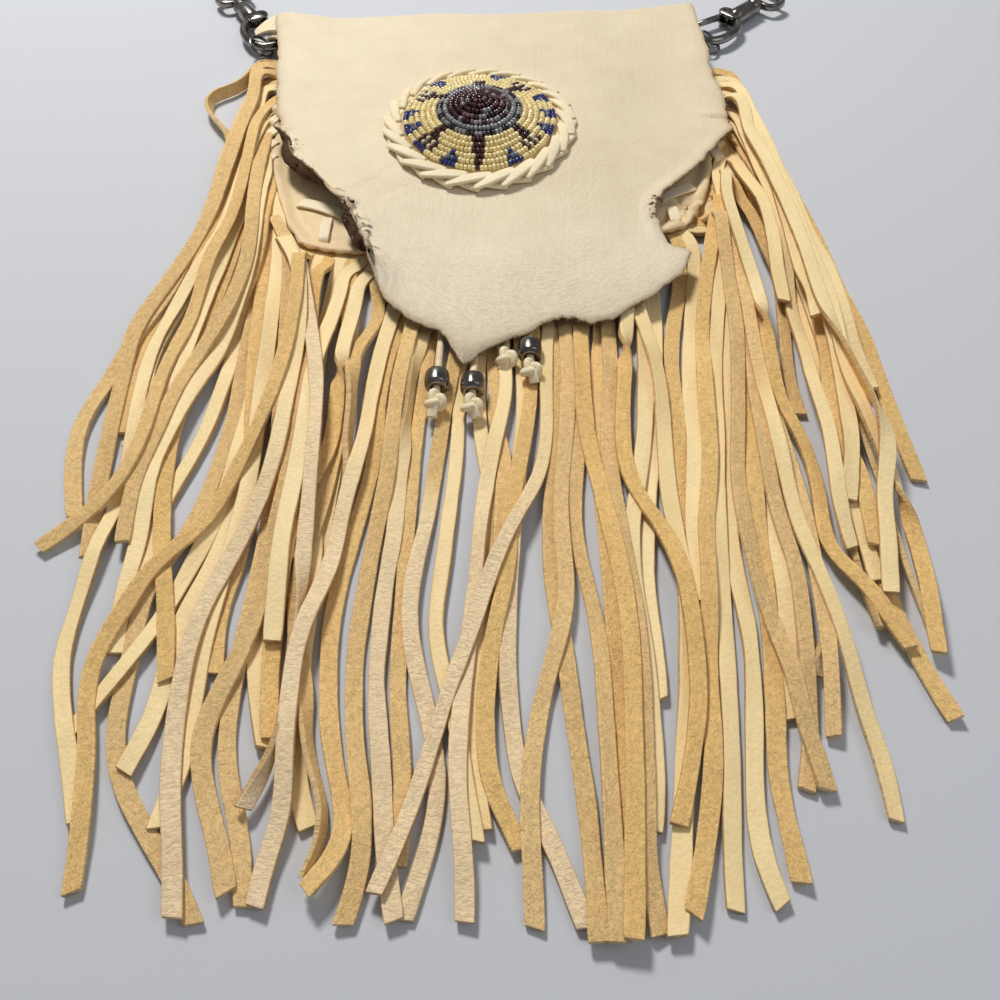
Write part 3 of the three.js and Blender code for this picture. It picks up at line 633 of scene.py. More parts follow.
def bead_material():
    """Glass seed beads, clouded a little in their point colour tone."""
    material, tree, shader = new_material("seed_beads")
    tone = node(tree, "ShaderNodeAttribute", attribute_name="tone").outputs["Color"]
    where = node(tree, "ShaderNodeTexCoord").outputs["Object"]
    cloud = ramp(tree, noise(tree, where, BEAD_CLOUD_SCALE, 2.0), 0.3, 0.7, 0.94, 1.08)
    tree.links.new(shaded(tree, tone, cloud), shader.inputs["Base Color"])
    rough = ramp(tree, noise(tree, where, BEAD_WEAR_SCALE, 2.0), 0.3, 0.7, 0.14, 0.3)
    tree.links.new(rough, shader.inputs["Roughness"])
    shader.inputs["IOR"].default_value = 1.52
    shader.inputs["Coat Weight"].default_value = 0.35
    shader.inputs["Coat Roughness"].default_value = 0.08
    return material


def metal_material():
    """Polished dark nickel, with smears and fine scratches."""
    material, tree, shader = new_material("dark_nickel")
    where = node(tree, "ShaderNodeTexCoord").outputs["Object"]
    smear = noise(tree, where, SMEAR_SCALE, 4.0, 0.6)
    scratch = noise(tree, scaled(tree, where, 1.0, 0.06, 1.0), SCRATCH_SCALE, 2.0, 0.5)
    colour = mixed(tree, "MIX", ramp(tree, smear, 0.35, 0.7), NICKEL_DARK, NICKEL_LIGHT)
    tree.links.new(colour, shader.inputs["Base Color"])
    shader.inputs["Metallic"].default_value = 1.0
    tree.links.new(ramp(tree, smear, 0.3, 0.75, 0.16, 0.34), shader.inputs["Roughness"])
    tree.links.new(bumped(tree, scratch, SCRATCH_BUMP, 0.35), shader.inputs["Normal"])
    return material


def thread_material():
    """Backing of the beadwork, seen between the beads."""
    material, tree, shader = new_material("backing")
    where = node(tree, "ShaderNodeTexCoord").outputs["Object"]
    weave = noise(tree, where, WEAVE_SCALE, 3.0)
    tone = node(tree, "ShaderNodeAttribute", attribute_name="tone").outputs["Color"]
    shade = shaded(tree, tone, ramp(tree, weave, 0.35, 0.65, 0.85, 1.05))
    tree.links.new(shade, shader.inputs["Base Color"])
    shader.inputs["Roughness"].default_value = 0.9
    tree.links.new(bumped(tree, weave, WEAVE_BUMP, 0.6), shader.inputs["Normal"])
    return material


def lace_material():
    """Lace for curves, which carry no point colours."""
    material, tree, shader = new_material("lace")
    where = node(tree, "ShaderNodeTexCoord").outputs["Object"]
    cloud = ramp(tree, noise(tree, where, LACE_CLOUD_SCALE, 4.0, 0.6), 0.35, 0.7)
    tree.links.new(mixed(tree, "MIX", cloud, LACE_WORN, LACE_CLEAN), shader.inputs["Base Color"])
    shader.inputs["Roughness"].default_value = 0.6
    shader.inputs["Sheen Weight"].default_value = 0.1
    grain = noise(tree, where, LACE_GRAIN_SCALE, 3.0)
    tree.links.new(bumped(tree, grain, LACE_BUMP, 0.5), shader.inputs["Normal"])
    return material


add_camera()
add_studio()
HIDE_LOOK = hide_material()
BEAD_LOOK = bead_material()
METAL_LOOK = metal_material()
THREAD_LOOK = thread_material()
LACE_LOOK = lace_material()

# Leather tones, as seen
FLAP_GRAIN = linear(236, 221, 192)
# Suede of the flap's underside: its own brown, darkened further as painted shade for where the rolled edge
# shows it
FLAP_SUEDE_WITH_PAINTED_SHADE = linear(96, 66, 42)
PANEL_GRAIN = linear(240, 214, 168)
RAW_EDGE = linear(222, 196, 158)
LACE_TONE = linear(252, 236, 200)
BACK_SUEDE = linear(214, 182, 128)
STRIP_GRAIN = linear(255, 229, 172)
STRIP_SUEDE = linear(255, 214, 146)
STRIP_PALE = linear(250, 223, 180)
# Strip edges: the raw edge's tan, painted lighter as lit when suede is up, and darker as painted shade when
# grain is up
STRIP_EDGE_WITH_PAINTED_LIGHT = linear(228, 196, 146)
STRIP_EDGE_WITH_PAINTED_SHADE = linear(200, 160, 106)


# Ties first: four laces that come out below the flap

TIE_POINTS = 30
KNOT_SIZE = 3.1
KNOT_RADIUS = 1.35
KNOT_STEPS = 46
KNOT_LOWEST = 0.25
# A knot's reach across, along and above its lace, in shares of its size
KNOT_SPREAD = (0.62, 0.72, 0.85)
# Where each knot's cut end lies from its middle, across and along the picture
KNOT_TAILS = {1: (-1.2, -6.4), 2: (1.6, -4.6), 3: (1.2, -5.0), 4: (-1.4, -4.4)}
TAIL_STEPS = 12
TAIL_WIDTHS = (2.4, 3.2, 3.6)
TAIL_THICKNESS = 1.7
TAIL_LOWEST = 1.6
BARREL_BEAD_LENGTH = 7.4
BARREL_BEAD_RADIUS = 4.3
BARREL_BEAD_LIP = 3.4
BARREL_BEAD_BORE = 1.75


def overhand_knot(middle, way):
    """Route of a lace knot that loops through itself."""
    way = np.asarray(way, float) / np.linalg.norm(way)
    side = np.cross(way, (0, 0, 1.0))
    side /= np.linalg.norm(side)
    above = np.cross(side, way)
    t = np.linspace(0.35, 2 * math.pi + 0.1, KNOT_STEPS)
    local = np.stack([np.sin(t) + 2 * np.sin(2 * t), np.cos(t) - 2 * np.cos(2 * t), -np.sin(3 * t)], axis=1)
    local *= np.array(KNOT_SPREAD) * KNOT_SIZE / 2
    return middle + local[:, :1] * side + local[:, 1:2] * way + local[:, 2:] * above


def add_tail(soup, middle, reach):
    """Short cut end of lace below a knot."""
    x, y = reach
    route = [middle + np.array([0.0, 0.6, 0.4]), middle + np.array([x * 0.35, y * 0.35, 0.7]),
             middle + np.array([x * 0.75, y * 0.7, -0.4]), middle + np.array([x, y, -1.6])]
    path = spline(route, TAIL_STEPS)
    path[:, 2] = np.maximum(path[:, 2], TAIL_LOWEST)
    _, across, above = frames_along(path)
    width = np.interp(np.linspace(0, 1, TAIL_STEPS), [0, 0.4, 1], TAIL_WIDTHS)
    shape, faces = tube(path, across, above, band_section(width, TAIL_THICKNESS, 0.7, -0.15))
    uv = np.stack([np.tile(ACROSS * 3.4, TAIL_STEPS), np.repeat(distances(path), SECTION)], axis=1)
    soup.add(shape, faces, uv, values={"nap": np.tile(EDGE * 0.4, TAIL_STEPS), "crease": 0.4},
             colours={"tone": LACE_TONE})


def add_knot(name, way):
    low, high = (np.array(corner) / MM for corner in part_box(f"knot_{name}"))
    middle = (low + high) / 2
    path = overhand_knot(middle, way)
    _, across, above = frames_along(path, up=(0.2, 0.3, 1))
    points, faces = tube(path, across, above, round_section(KNOT_STEPS, KNOT_RADIUS, 12))
    points[:, 2] = np.maximum(points[:, 2], KNOT_LOWEST)
    soup = Soup()
    soup.add(points, faces, points[:, :2], values={"nap": 0.1, "crease": 0.4}, colours={"tone": LACE_TONE})
    add_tail(soup, middle, KNOT_TAILS[name])
    return placed(soup.piece(f"lace_knot_{name}", HIDE_LOOK), f"knot_{name}")


def add_metal_bead(name):
    """A barrel bead with rounded lips round its bore."""
    full, end, bore = BARREL_BEAD_RADIUS, BARREL_BEAD_LIP, BARREL_BEAD_BORE
    half = BARREL_BEAD_LENGTH / 2
    profile = [(bore, -half + 0.4), (bore + 0.25, -half + 0.05), (end - 0.5, -half), (end, -half + 0.2),
               (end + 0.35, -half + 0.7)]
    for k in range(9):
        t = -0.8 + 1.6 * k / 8
        profile.append((full - (full - end - 0.35) * abs(t) ** 2.6, t * half * 0.98))
    profile += [(end + 0.35, half - 0.7), (end, half - 0.2), (end - 0.5, half), (bore + 0.25, half - 0.05),
                (bore, half - 0.4), (bore, -half + 0.4)]
    points, faces = lathe(profile, 40)
    piece = mesh_object(f"metal_bead_{name}", points + np.array(BEAD_PLACES[name]), faces, METAL_LOOK)
    return placed(piece, f"bead_{name}")


def add_ties():
    for name, route in TIE_ROUTES.items():
        data = bpy.data.curves.new(f"lace_tie_{name}", "CURVE")
        data.dimensions = "3D"
        data.bevel_depth = TIE_DIAMETER / 2
        data.bevel_resolution = 4
        data.use_fill_caps = True
        path = spline(np.array(route), TIE_POINTS)
        line = data.splines.new("POLY")
        line.points.add(len(path) - 1)
        line.points.foreach_set("co", np.hstack([path, np.ones((len(path), 1))]).ravel())
        data.materials.append(LACE_LOOK)
        tie = placed(link(f"lace_tie_{name}", data), f"tie_{name}")
        on_it = [add_knot(name, path[-1] - path[-3])]
        if name in BEAD_PLACES:
            on_it.append(add_metal_bead(name))


add_ties()


# Sheets

def patch(top, bottom, left, right):
    """Four sides blended into a grid of points: rows by columns by two."""
    rows, cols = len(left), len(top)
    s = np.linspace(0, 1, rows)[:, None, None]
    t = np.linspace(0, 1, cols)[None, :, None]
    grid = (1 - s) * top[None] + s * bottom[None] + (1 - t) * left[:, None] + t * right[:, None]
    grid -= (1 - s) * (1 - t) * top[0] + (1 - s) * t * top[-1] + s * (1 - t) * bottom[0] + s * t * bottom[-1]
    return grid


def sheet_mesh(soup, grid, thickness, outer, inner, outer_nap, uv, crease, edge_tone=RAW_EDGE):
    """A closed sheet round a grid of middle points. outer and inner are point colours of its two sides."""
    rows, cols = grid.shape[:2]
    along = np.gradient(grid, axis=0)
    across = np.gradient(grid, axis=1)
    normal = np.cross(along, across)
    normal /= np.linalg.norm(normal, axis=2)[:, :, None]
    half = np.broadcast_to(thickness, (rows, cols))[:, :, None] / 2
    top = (grid + normal * half).reshape(-1, 3)
    low = (grid - normal * half).reshape(-1, 3)
    count = rows * cols
    index = np.arange(count).reshape(rows, cols)
    a, b, c, d = index[:-1, :-1], index[:-1, 1:], index[1:, 1:], index[1:, :-1]
    quads = np.stack([a, d, c, b], axis=-1).reshape(-1, 4)
    faces = quads.tolist() + (quads[:, ::-1] + count).tolist()
    rim = np.concatenate([index[0, :], index[1:, -1], index[-1, -2::-1], index[-2:0:-1, 0]])
    middle = (top[rim] + low[rim]) / 2
    flat = grid.reshape(-1, 3)
    ahead = np.roll(flat[rim], -1, axis=0) - np.roll(flat[rim], 1, axis=0)
    outward = np.cross(normal.reshape(-1, 3)[rim], ahead)
    outward /= np.maximum(np.linalg.norm(outward, axis=1), 1e-6)[:, None]
    inside = flat.mean(axis=0)
    if np.mean(np.sum(outward * (flat[rim] - inside), axis=1)) < 0:
        outward = -outward
    middle = middle + outward * half.reshape(-1, 1)[rim] * 0.55
    first = 2 * count
    n = len(rim)
    for k in range(n):
        m = (k + 1) % n
        faces.append((rim[k], rim[m], first + m, first + k))
        faces.append((first + k, first + m, rim[m] + count, rim[k] + count))
    points = np.vstack([top, low, middle])
    tone = np.vstack([outer.reshape(-1, 3), inner.reshape(-1, 3), np.broadcast_to(edge_tone, (n, 3))])
    nap = np.concatenate([np.broadcast_to(outer_nap, (rows, cols)).reshape(-1), np.ones(count + n)])
    creases = np.broadcast_to(crease, (rows, cols)).reshape(-1)
    crease_all = np.concatenate([creases, np.zeros(count + n)])
    flat_uv = uv.reshape(-1, 2)
    uv_all = np.vstack([flat_uv, flat_uv + 400, flat_uv[rim] + 0.8])
    soup.add(points, faces, uv_all, values={"nap": nap, "crease": crease_all}, colours={"tone": tone})


def untangled(grid, steps):
    """Even out the inside of a flat grid, so that no cell folds over (Winslow's equations)."""
    grid = grid.copy()
    for _ in range(steps):
        up, down = grid[:-2, 1:-1], grid[2:, 1:-1]
        before, after = grid[1:-1, :-2], grid[1:-1, 2:]
        ds, dt = (down - up) / 2, (after - before) / 2
        alpha = np.sum(dt * dt, axis=2)[:, :, None]
        gamma = np.sum(ds * ds, axis=2)[:, :, None]
        beta = np.sum(ds * dt, axis=2)[:, :, None]
        twist = (grid[2:, 2:] - grid[2:, :-2] - grid[:-2, 2:] + grid[:-2, :-2]) / 4
        goal = alpha * (up + down) + gamma * (before + after) - 2 * beta * twist
        goal = goal / (2 * (alpha + gamma) + 1e-9)
        grid[1:-1, 1:-1] += 0.8 * (goal - grid[1:-1, 1:-1])
    return grid


def finer(grid, rows, cols):
    """A grid at more rows and columns, by straight interpolation."""
    r = np.linspace(0, grid.shape[0] - 1, rows)
    c = np.linspace(0, grid.shape[1] - 1, cols)
    i = np.minimum(r.astype(int), grid.shape[0] - 2)
    j = np.minimum(c.astype(int), grid.shape[1] - 2)
    u, v = (r - i)[:, None, None], (c - j)[None, :, None]
    a, b = grid[i][:, j], grid[i][:, j + 1]
    c0, d = grid[i + 1][:, j], grid[i + 1][:, j + 1]
    return (1 - u) * ((1 - v) * a + v * b) + u * ((1 - v) * c0 + v * d)


COARSE_STEPS = 1500
FINE_STEPS = 260


def tidy_patch(top, bottom, left, right):
    """A patch whose cells don't fold over: worked out coarsely first, then at full fineness."""
    rows, cols = len(left), len(top)
    few_rows, few_cols = rows // 4, cols // 4
    coarse = patch(resample_share(top, few_cols), resample_share(bottom, few_cols),
                   resample_share(left, few_rows), resample_share(right, few_rows))
    coarse = untangled(coarse, COARSE_STEPS)
    full = finer(coarse, rows, cols)
    full[0], full[-1], full[:, 0], full[:, -1] = top, bottom, left, right
    return untangled(full, FINE_STEPS)


def resample_share(points, count):
    """A number of points evenly spread over a list of them, by their place in the list."""
    at = np.linspace(0, len(points) - 1, count)
    return np.stack([np.interp(at, np.arange(len(points)), points[:, k]) for k in (0, 1)], axis=1)


FLAP_ROWS = 150
COLUMNS = 130
BACK_ROWS = 44
FOLD_ROWS = 18
OUTLINE_POINTS = 200
fold_top = spline([flap_point(p) for p in FOLD_LINE], COLUMNS)
foot_half = abs(pouch_point(POUCH_LEFT[0])[0])
fold_foot = np.stack([np.linspace(-foot_half, foot_half, COLUMNS), fold_top[:, 1]], axis=1)
pouch_left = spline([pouch_point(p) for p in POUCH_LEFT], OUTLINE_POINTS)
pouch_bottom = spline([pouch_point(p) for p in POUCH_BOTTOM], OUTLINE_POINTS)
pouch_right = spline([pouch_point(p) for p in POUCH_RIGHT], OUTLINE_POINTS)


def ragged(points, rng, rough, closed_out):
    """A cut edge that wavers to both sides of its line."""
    count = len(points)
    way = np.gradient(points, axis=0)
    side = np.stack([way[:, 1], -way[:, 0]], axis=1)
    side /= np.maximum(np.linalg.norm(side, axis=1), 1e-9)[:, None]
    shift = wander(rng, count, 9, rough * 0.6) + wander(rng, count, 3, rough * 0.45) \
        + wander(rng, count, 1.3, rough * 0.25)
    shift = shift * np.minimum(1, np.minimum(np.arange(count), np.arange(count)[::-1]) / closed_out)
    return points + side * shift[:, None]


def edge_gap(x, y, line):
    """Distance from each place to a line of points, and the nearest point's share of the line."""
    gap = np.full(x.shape, 1e9)
    share = np.zeros(x.shape)
    for k in range(len(line)):
        away = np.hypot(x - line[k, 0], y - line[k, 1])
        nearer = away < gap
        gap = np.where(nearer, away, gap)
        share = np.where(nearer, k / (len(line) - 1), share)
    return gap, share


# A rolled edge: width of hide that rolls, the share of it that bends, its turn in radians, how far the
# hide is pushed in, the lift of the hide behind it, how far these reach, and steps along the roll
CURL_WIDTH = 7.5
CURL_BEND = 0.45
CURL_TURN = 2.5
CURL_PUSH = 14.5
CURL_LIFT = 0.8
CURL_FADE = 22.0
CURL_STEPS = 20


def curled(x, y, z, line, amounts):
    """Roll a hide's raw edge upward. amounts pairs shares of the line with how strongly it rolls there."""
    gap, share = edge_gap(x, y, line)
    strength = np.interp(share, [a for a, _ in amounts], [b for _, b in amounts])
    way = np.gradient(line, axis=0)
    way /= np.maximum(np.linalg.norm(way, axis=1), 1e-9)[:, None]
    index = np.rint(share * (len(line) - 1)).astype(int)
    nearest = line[index]
    outward = nearest - np.stack([x, y], axis=2)
    size = np.linalg.norm(outward, axis=2)[:, :, None]
    outward = np.where(size > 0.4, outward / np.maximum(size, 1e-6), 0)
    edge_out = np.stack([way[:, 1], -way[:, 0]], axis=1)
    flip = np.sign(np.sum(edge_out * (line - np.array(ROSETTE)), axis=1))[:, None]
    outward = np.where(size > 0.4, outward, (edge_out * flip)[index])
    past = np.clip(CURL_WIDTH - gap, 0, CURL_WIDTH)
    travel, rise = np.zeros(x.shape), np.zeros(x.shape)
    for k in range(CURL_STEPS):
        angle = CURL_TURN * strength * smooth(past * (k + 0.5) / CURL_STEPS, 0, CURL_BEND * CURL_WIDTH)
        travel = travel + np.cos(angle) * past / CURL_STEPS
        rise = rise + np.sin(angle) * past / CURL_STEPS
    near = np.exp(-(gap / CURL_FADE) ** 1.8)
    back = past - travel - CURL_PUSH * strength * near
    lift = CURL_LIFT * strength * near
    return x - outward[:, :, 0] * back, y - outward[:, :, 1] * back, z + rise + lift


# How strongly the flap's side edges roll up, by share of each one's outline points
LEFT_ROLL = [(0.0, 0.0), (0.38, 0.0), (0.43, 0.55), (0.49, 1.0), (0.56, 0.95), (0.63, 0.5), (0.69, 0.12),
             (0.74, 0.3), (0.79, 1.0), (0.88, 1.0), (0.93, 0.6), (0.97, 0.1), (1.0, 0.0)]
RIGHT_ROLL = [(0.0, 0.0), (0.36, 0.0), (0.44, 0.1), (0.55, 0.14), (0.68, 0.17), (0.76, 0.2), (0.84, 0.12),
              (0.92, 0.0), (1.0, 0.0)]


FLAP_SEED = 11
FLAP_ROUGH = 0.9
TIP_ROUGH = 0.7
# Distances from the rosette's middle between which the flap's waves set in
QUIET_RING = (38, 60)
# A short crease at the flap's right edge
CREASE_PIXELS = ((693, 113.5), (731, 114.5))
CREASE_LEVEL = 12.0
FLAP_TAN = linear(228, 209, 174)
FLAP_UPPER_LEFT = linear(240, 227, 197)
FLAP_LOW_PART = linear(234, 223, 198)
FLAP_THIN_RIM = linear(214, 190, 158)


def creased(x, y, z):
    """Heights of the flap with its crease: a groove with a soft ridge above it."""
    a, b = (np.array(seen_at(*pixel, CREASE_LEVEL)) for pixel in CREASE_PIXELS)
    way = (b - a) / np.linalg.norm(b - a)
    along = (x - a[0]) * way[0] + (y - a[1]) * way[1]
    off = -(x - a[0]) * way[1] + (y - a[1]) * way[0]
    fade = smooth(along, 0, 9)
    return z - 1.2 * fade * np.exp(-(off / 0.9) ** 2) + 0.45 * fade * np.exp(-((off - 2.6) / 1.8) ** 2)


def flap_grid():
    """The flap from its fold to its tip, with soft waves and with raw edges that roll up."""
    rng = np.random.default_rng(FLAP_SEED)
    left = ragged(straight([flap_point(p) for p in FLAP_LEFT], FLAP_ROWS), rng, FLAP_ROUGH, 12)
    right = ragged(straight([flap_point(p) for p in FLAP_RIGHT], FLAP_ROWS), rng, FLAP_ROUGH, 12)
    bottom = ragged(straight([flap_point(p) for p in FLAP_BOTTOM], COLUMNS), rng, TIP_ROUGH, 6)
    plan = tidy_patch(fold_top, bottom, left, right)
    x, y = plan[:, :, 0], plan[:, :, 1]
    quiet = smooth(np.hypot(x - ROSETTE[0], y - ROSETTE[1]), *QUIET_RING)
    z = flap_top(x, y) - HIDE / 2
    z = z + 0.35 * quiet * ripple(x, y, 3, 70) + 0.12 * quiet * ripple(x, y, 4, 26)
    x, y, z = curled(x, y, z, left, LEFT_ROLL)
    x, y, z = curled(x, y, z, right, RIGHT_ROLL)
    return np.stack([x, y, creased(x, y, z)], axis=2)


def back_grid():
    """The back, from the pouch's bottom up to the fold."""
    left = resample(np.vstack([[fold_foot[0]], pouch_left]), BACK_ROWS)
    right = resample(np.vstack([[fold_foot[-1]], pouch_right]), BACK_ROWS)
    plan = patch(fold_foot, resample(pouch_bottom, COLUMNS), left, right)[::-1]
    return np.dstack([plan, np.full(plan.shape[:2], HIDE / 2)])


def fold_grid(start, end):
    """Half a turn of hide, from the back's last row of points to the flap's first."""
    radius = (end[:, 2] - start[:, 2]) / 2
    wave = 1 + 0.05 * np.sin(end[:, 0] / 9.0)
    fold = []
    for k in range(1, FOLD_ROWS):
        angle = math.pi * (k / FOLD_ROWS - 0.5)
        across = start[:, 0] + (end[:, 0] - start[:, 0]) * (1 + math.sin(angle)) / 2
        fold.append(np.stack([across, end[:, 1] + radius * math.cos(angle) * wave,
                              start[:, 2] + radius * (1 + math.sin(angle))], axis=1))
    return np.array(fold)


def toward(tone, goal, share):
    """Colours moved toward a goal, each point by its share of the way."""
    return tone + (np.array(goal) - tone) * share[:, :, None]


def flap_tones(grid, rim):
    """Cream with tan blotches, lighter at the upper left and low down, and darker at its thin rim."""
    x, y = grid[:, :, 0], grid[:, :, 1]
    tone = np.broadcast_to(FLAP_GRAIN, grid.shape)
    tone = toward(tone, FLAP_TAN, 0.30 * (0.5 + 0.5 * np.tanh(1.2 * ripple(x, y, 21, 60))))
    tone = toward(tone, FLAP_UPPER_LEFT, 0.6 * smooth(-x + 0.5 * y, 20, 110))
    tone = toward(tone, FLAP_LOW_PART, 0.75 * smooth(-y, 45, 100))
    return toward(tone, FLAP_THIN_RIM, 0.7 * np.exp(-rim / 1.4))


def make_hide():
    flap, back = flap_grid(), back_grid()
    grid = np.concatenate([back, fold_grid(back[-1], flap[0]), flap])
    rows, cols = grid.shape[:2]
    # how many points each one lies in from the side edges or the flap's tip
    steps_in = np.minimum(np.arange(cols), np.arange(cols)[::-1])[None, :]
    rim = np.minimum(steps_in, (rows - 1 - np.arange(rows))[:, None])
    # the hide keeps its thickness away from the rim, and thins there to a torn, napped edge
    thickness = HIDE * (0.62 + 0.38 * smooth(rim.astype(float), 0, 2))
    nap = 0.8 * np.exp(-rim / 0.8) * smooth((np.arange(rows) - BACK_ROWS)[:, None], 0, 20)
    crease = 0.12 + 0.5 * smooth(-grid[:, :, 1], 60, 120)
    run = np.linalg.norm(np.diff(grid, axis=0), axis=2)
    uv = np.stack([grid[:, :, 0], np.cumsum(np.concatenate([np.zeros((1, cols)), run]), axis=0)], axis=2)
    # The inner side is the flap's suede colour with painted shade in it, seen where the edge rolls up
    inner = np.broadcast_to(FLAP_SUEDE_WITH_PAINTED_SHADE, grid.shape)
    soup = Soup()
    sheet_mesh(soup, grid, thickness, flap_tones(grid, rim), inner, nap, uv, crease)
    hide = placed(soup.piece("hide_back_and_flap", HIDE_LOOK), "back_and_flap")
    return grid


TORN_DARK = linear(150, 116, 78)
FIBRES_PER_MM = 4.0
# First row of the hide's grid whose side edges have torn fibres
TORN_FROM = BACK_ROWS + FOLD_ROWS + 30
# A tuft of pale fibres on the front panel, beside the flap
SNAG_PIXEL = (289, 162)
SNAG_LEVEL = 8.6
SNAG_FIBRES = 26


def add_edge_fibres(grid):
    """Torn fibres along the flap's raw edges, and a small snag on the front panel."""
    rng = np.random.default_rng(29)
    left, right, bottom = grid[TORN_FROM:, 0], grid[TORN_FROM:, -1], grid[-1]
    soup = Soup()
    for line, inner in ((left, grid[TORN_FROM:, 3]), (right, grid[TORN_FROM:, -4]), (bottom, grid[-4])):
        along = distances(line)
        for _ in range(int(along[-1] * FIBRES_PER_MM)):
            at = rng.uniform(0, along[-1])
            root = np.array([np.interp(at, along, line[:, k]) for k in range(3)])
            deep = np.array([np.interp(at, along, inner[:, k]) for k in range(3)])
            out = root - deep
            out /= max(np.linalg.norm(out), 1e-6)
            root = root + out * 0.1 + np.array([0, 0, rng.uniform(-0.5, 0.35)])
            tip = root + out * rng.uniform(0.3, 1.3) + rng.normal(0, 0.4, 3)
            side = np.cross(out, (0, 0, 1.0))
            side = side / max(np.linalg.norm(side), 1e-3) * rng.uniform(0.05, 0.12)
            base = [root - side, root + side, root - out * 0.1 + np.array([0, 0, 0.12])]
            add_fibre(soup, base, tip, np.tile([at, rng.uniform(0, 30)], (4, 1)),
                      RAW_EDGE if rng.random() < 0.6 else TORN_DARK)
    snag = np.array([*seen_at(*SNAG_PIXEL, SNAG_LEVEL), 0.0])
    snag[2] = panel_top(snag[0], snag[1])
    for _ in range(SNAG_FIBRES):
        root = snag + np.array([*rng.normal(0, 0.5, 2), -0.1])
        tip = root + np.array([*rng.normal(0, 1.0, 2), rng.uniform(0.5, 1.5)])
        add_fibre(soup, [root - [0.1, 0, 0], root + [0.1, 0, 0], root + [0, 0.1, 0]], tip, None, LACE_TONE)
    placed(soup.piece("flap_edge_fibres", HIDE_LOOK))


add_edge_fibres(make_hide())


# Seam line round the pouch, from its left mouth corner round the bottom to the right one
SEAM_POINTS = 800
seam = resample(np.vstack([pouch_left, pouch_bottom[1:], pouch_right[-2::-1]]), SEAM_POINTS)
seam_along = distances(seam)
seam_length = seam_along[-1]


def seam_place(distance):
    return np.array([np.interp(distance, seam_along, seam[:, k]) for k in (0, 1)])


def seam_inward(distance):
    way = seam_place(distance + 2) - seam_place(distance - 2)
    way /= np.linalg.norm(way)
    return np.array([-way[1], way[0]])


PANEL_ROWS = 90
PANEL_COLUMNS = 100
# Where the puckers of the panel's lower right corner fan out from
PUCKER = (74.0, -55.0)
PANEL_RIM = linear(234, 202, 160)
PANEL_LIGHT = linear(244, 226, 186)
PANEL_EDGE = linear(214, 178, 132)


def panel_heights(x, y, gap):
    """The panel's bulge with a rolled rim, a slack hollow behind it, and puckers. gap is to the seam."""
    z = panel_top(x, y) - HIDE / 2
    rolled = 0.9 * np.exp(-((gap - 1.5) / 1.8) ** 2) * smooth(gap, 0, 1.2)
    hollow = 0.8 * np.exp(-((gap - 6.0) / 2.6) ** 2)
    z = z + rolled - hollow + 0.25 * ripple(x, y, 8, 22) * smooth(gap, 3, 14)
    away = np.hypot(x - PUCKER[0], y - PUCKER[1])
    angle = np.arctan2(y - PUCKER[1], x - PUCKER[0])
    return z + 1.3 * np.exp(-(away / 16) ** 2) * np.sin(6 * angle + 0.1 * away)


def make_panel():
    rows, cols = PANEL_ROWS, PANEL_COLUMNS
    mouth = np.linspace(pouch_point(POUCH_LEFT[0]), pouch_point(POUCH_RIGHT[0]), cols)
    sides = resample(pouch_left, rows), resample(pouch_right, rows)
    plan = patch(mouth, resample(pouch_bottom, cols), *sides)
    x, y = plan[:, :, 0], plan[:, :, 1]
    gap = np.full(x.shape, 1e9)
    for point in seam[::4]:
        gap = np.minimum(gap, np.hypot(x - point[0], y - point[1]))
    z = panel_heights(x, y, gap)
    # the panel's edge wavers a little
    shift = 0.5 * ripple(x, y, 15, 14) * np.exp(-gap / 4)
    x, y = x + shift, y + 0.6 * shift
    grid = np.stack([x, y, z], axis=2)
    tone = toward(np.broadcast_to(PANEL_GRAIN, grid.shape), PANEL_RIM, 0.9 * np.exp(-gap / 2.0))
    tone = toward(tone, PANEL_LIGHT, 0.4 * (0.5 + 0.5 * np.tanh(ripple(x, y, 33, 30))))
    inner = np.broadcast_to(BACK_SUEDE, grid.shape)
    soup = Soup()
    sheet_mesh(soup, grid, HIDE, tone, inner, 0.0, grid[:, :, :2], 0.10, PANEL_EDGE)
    panel = placed(soup.piece("hide_front_panel", HIDE_LOOK), "front_panel")


make_panel()


# Lace

# Whipped lace: distance from one stitch to the next, how far a stitch leans along the seam, its width
# and thickness, and how much seam it takes at each side, from the fringe's top
WHIP_PITCH = 9.4
WHIP_LEAN = 5.5
WHIP_WIDTH = 4.4
WHIP_THICKNESS = 1.0
WHIP_SPANS = {"left": (FRINGE_TOP_GAP, 94.0), "right": (seam_length - 86.0, seam_length - FRINGE_TOP_GAP)}
# Corner stitches: ends in half widths and half depths of the pouch, and width
CORNER_STITCHES = {
    "left_1": ((-0.852, -0.627), (-0.648, -0.727), 5.4),
    "left_2": ((-0.712, -0.745), (-0.719, -0.915), 4.4),
    "right_1": ((0.9, -0.5), (0.732, -0.605), 5.4),
    "right_2": ((0.775, -0.66), (0.79, -0.78), 4.4),
}
STITCH_THICKNESS = 0.9
# Heights of a corner stitch over the panel at shares of its length
STITCH_LIFTS = ((0, -0.5), (0.06, 0.55), (0.3, 1.25), (0.55, 1.35), (0.8, 1.0), (0.95, 0.5), (1, -0.5))


def lace_strip(soup, points, width, thickness, count):
    """A flat lace along some points, a little narrower at its ends."""
    path = spline(points, count)
    _, across, above = frames_along(path)
    widths = width * (1 - 0.18 * np.linspace(-1, 1, count) ** 4)
    shape, faces = tube(path, across, above, band_section(widths, thickness, 0.8, -0.12 * width / 4))
    uv = np.stack([np.tile(ACROSS * width, count), np.repeat(distances(path), SECTION)], axis=1)
    soup.add(shape, faces, uv + np.array(path[0][:2]) * 3,
             values={"nap": np.tile(EDGE * 0.4, count), "crease": 0.15}, colours={"tone": LACE_TONE})


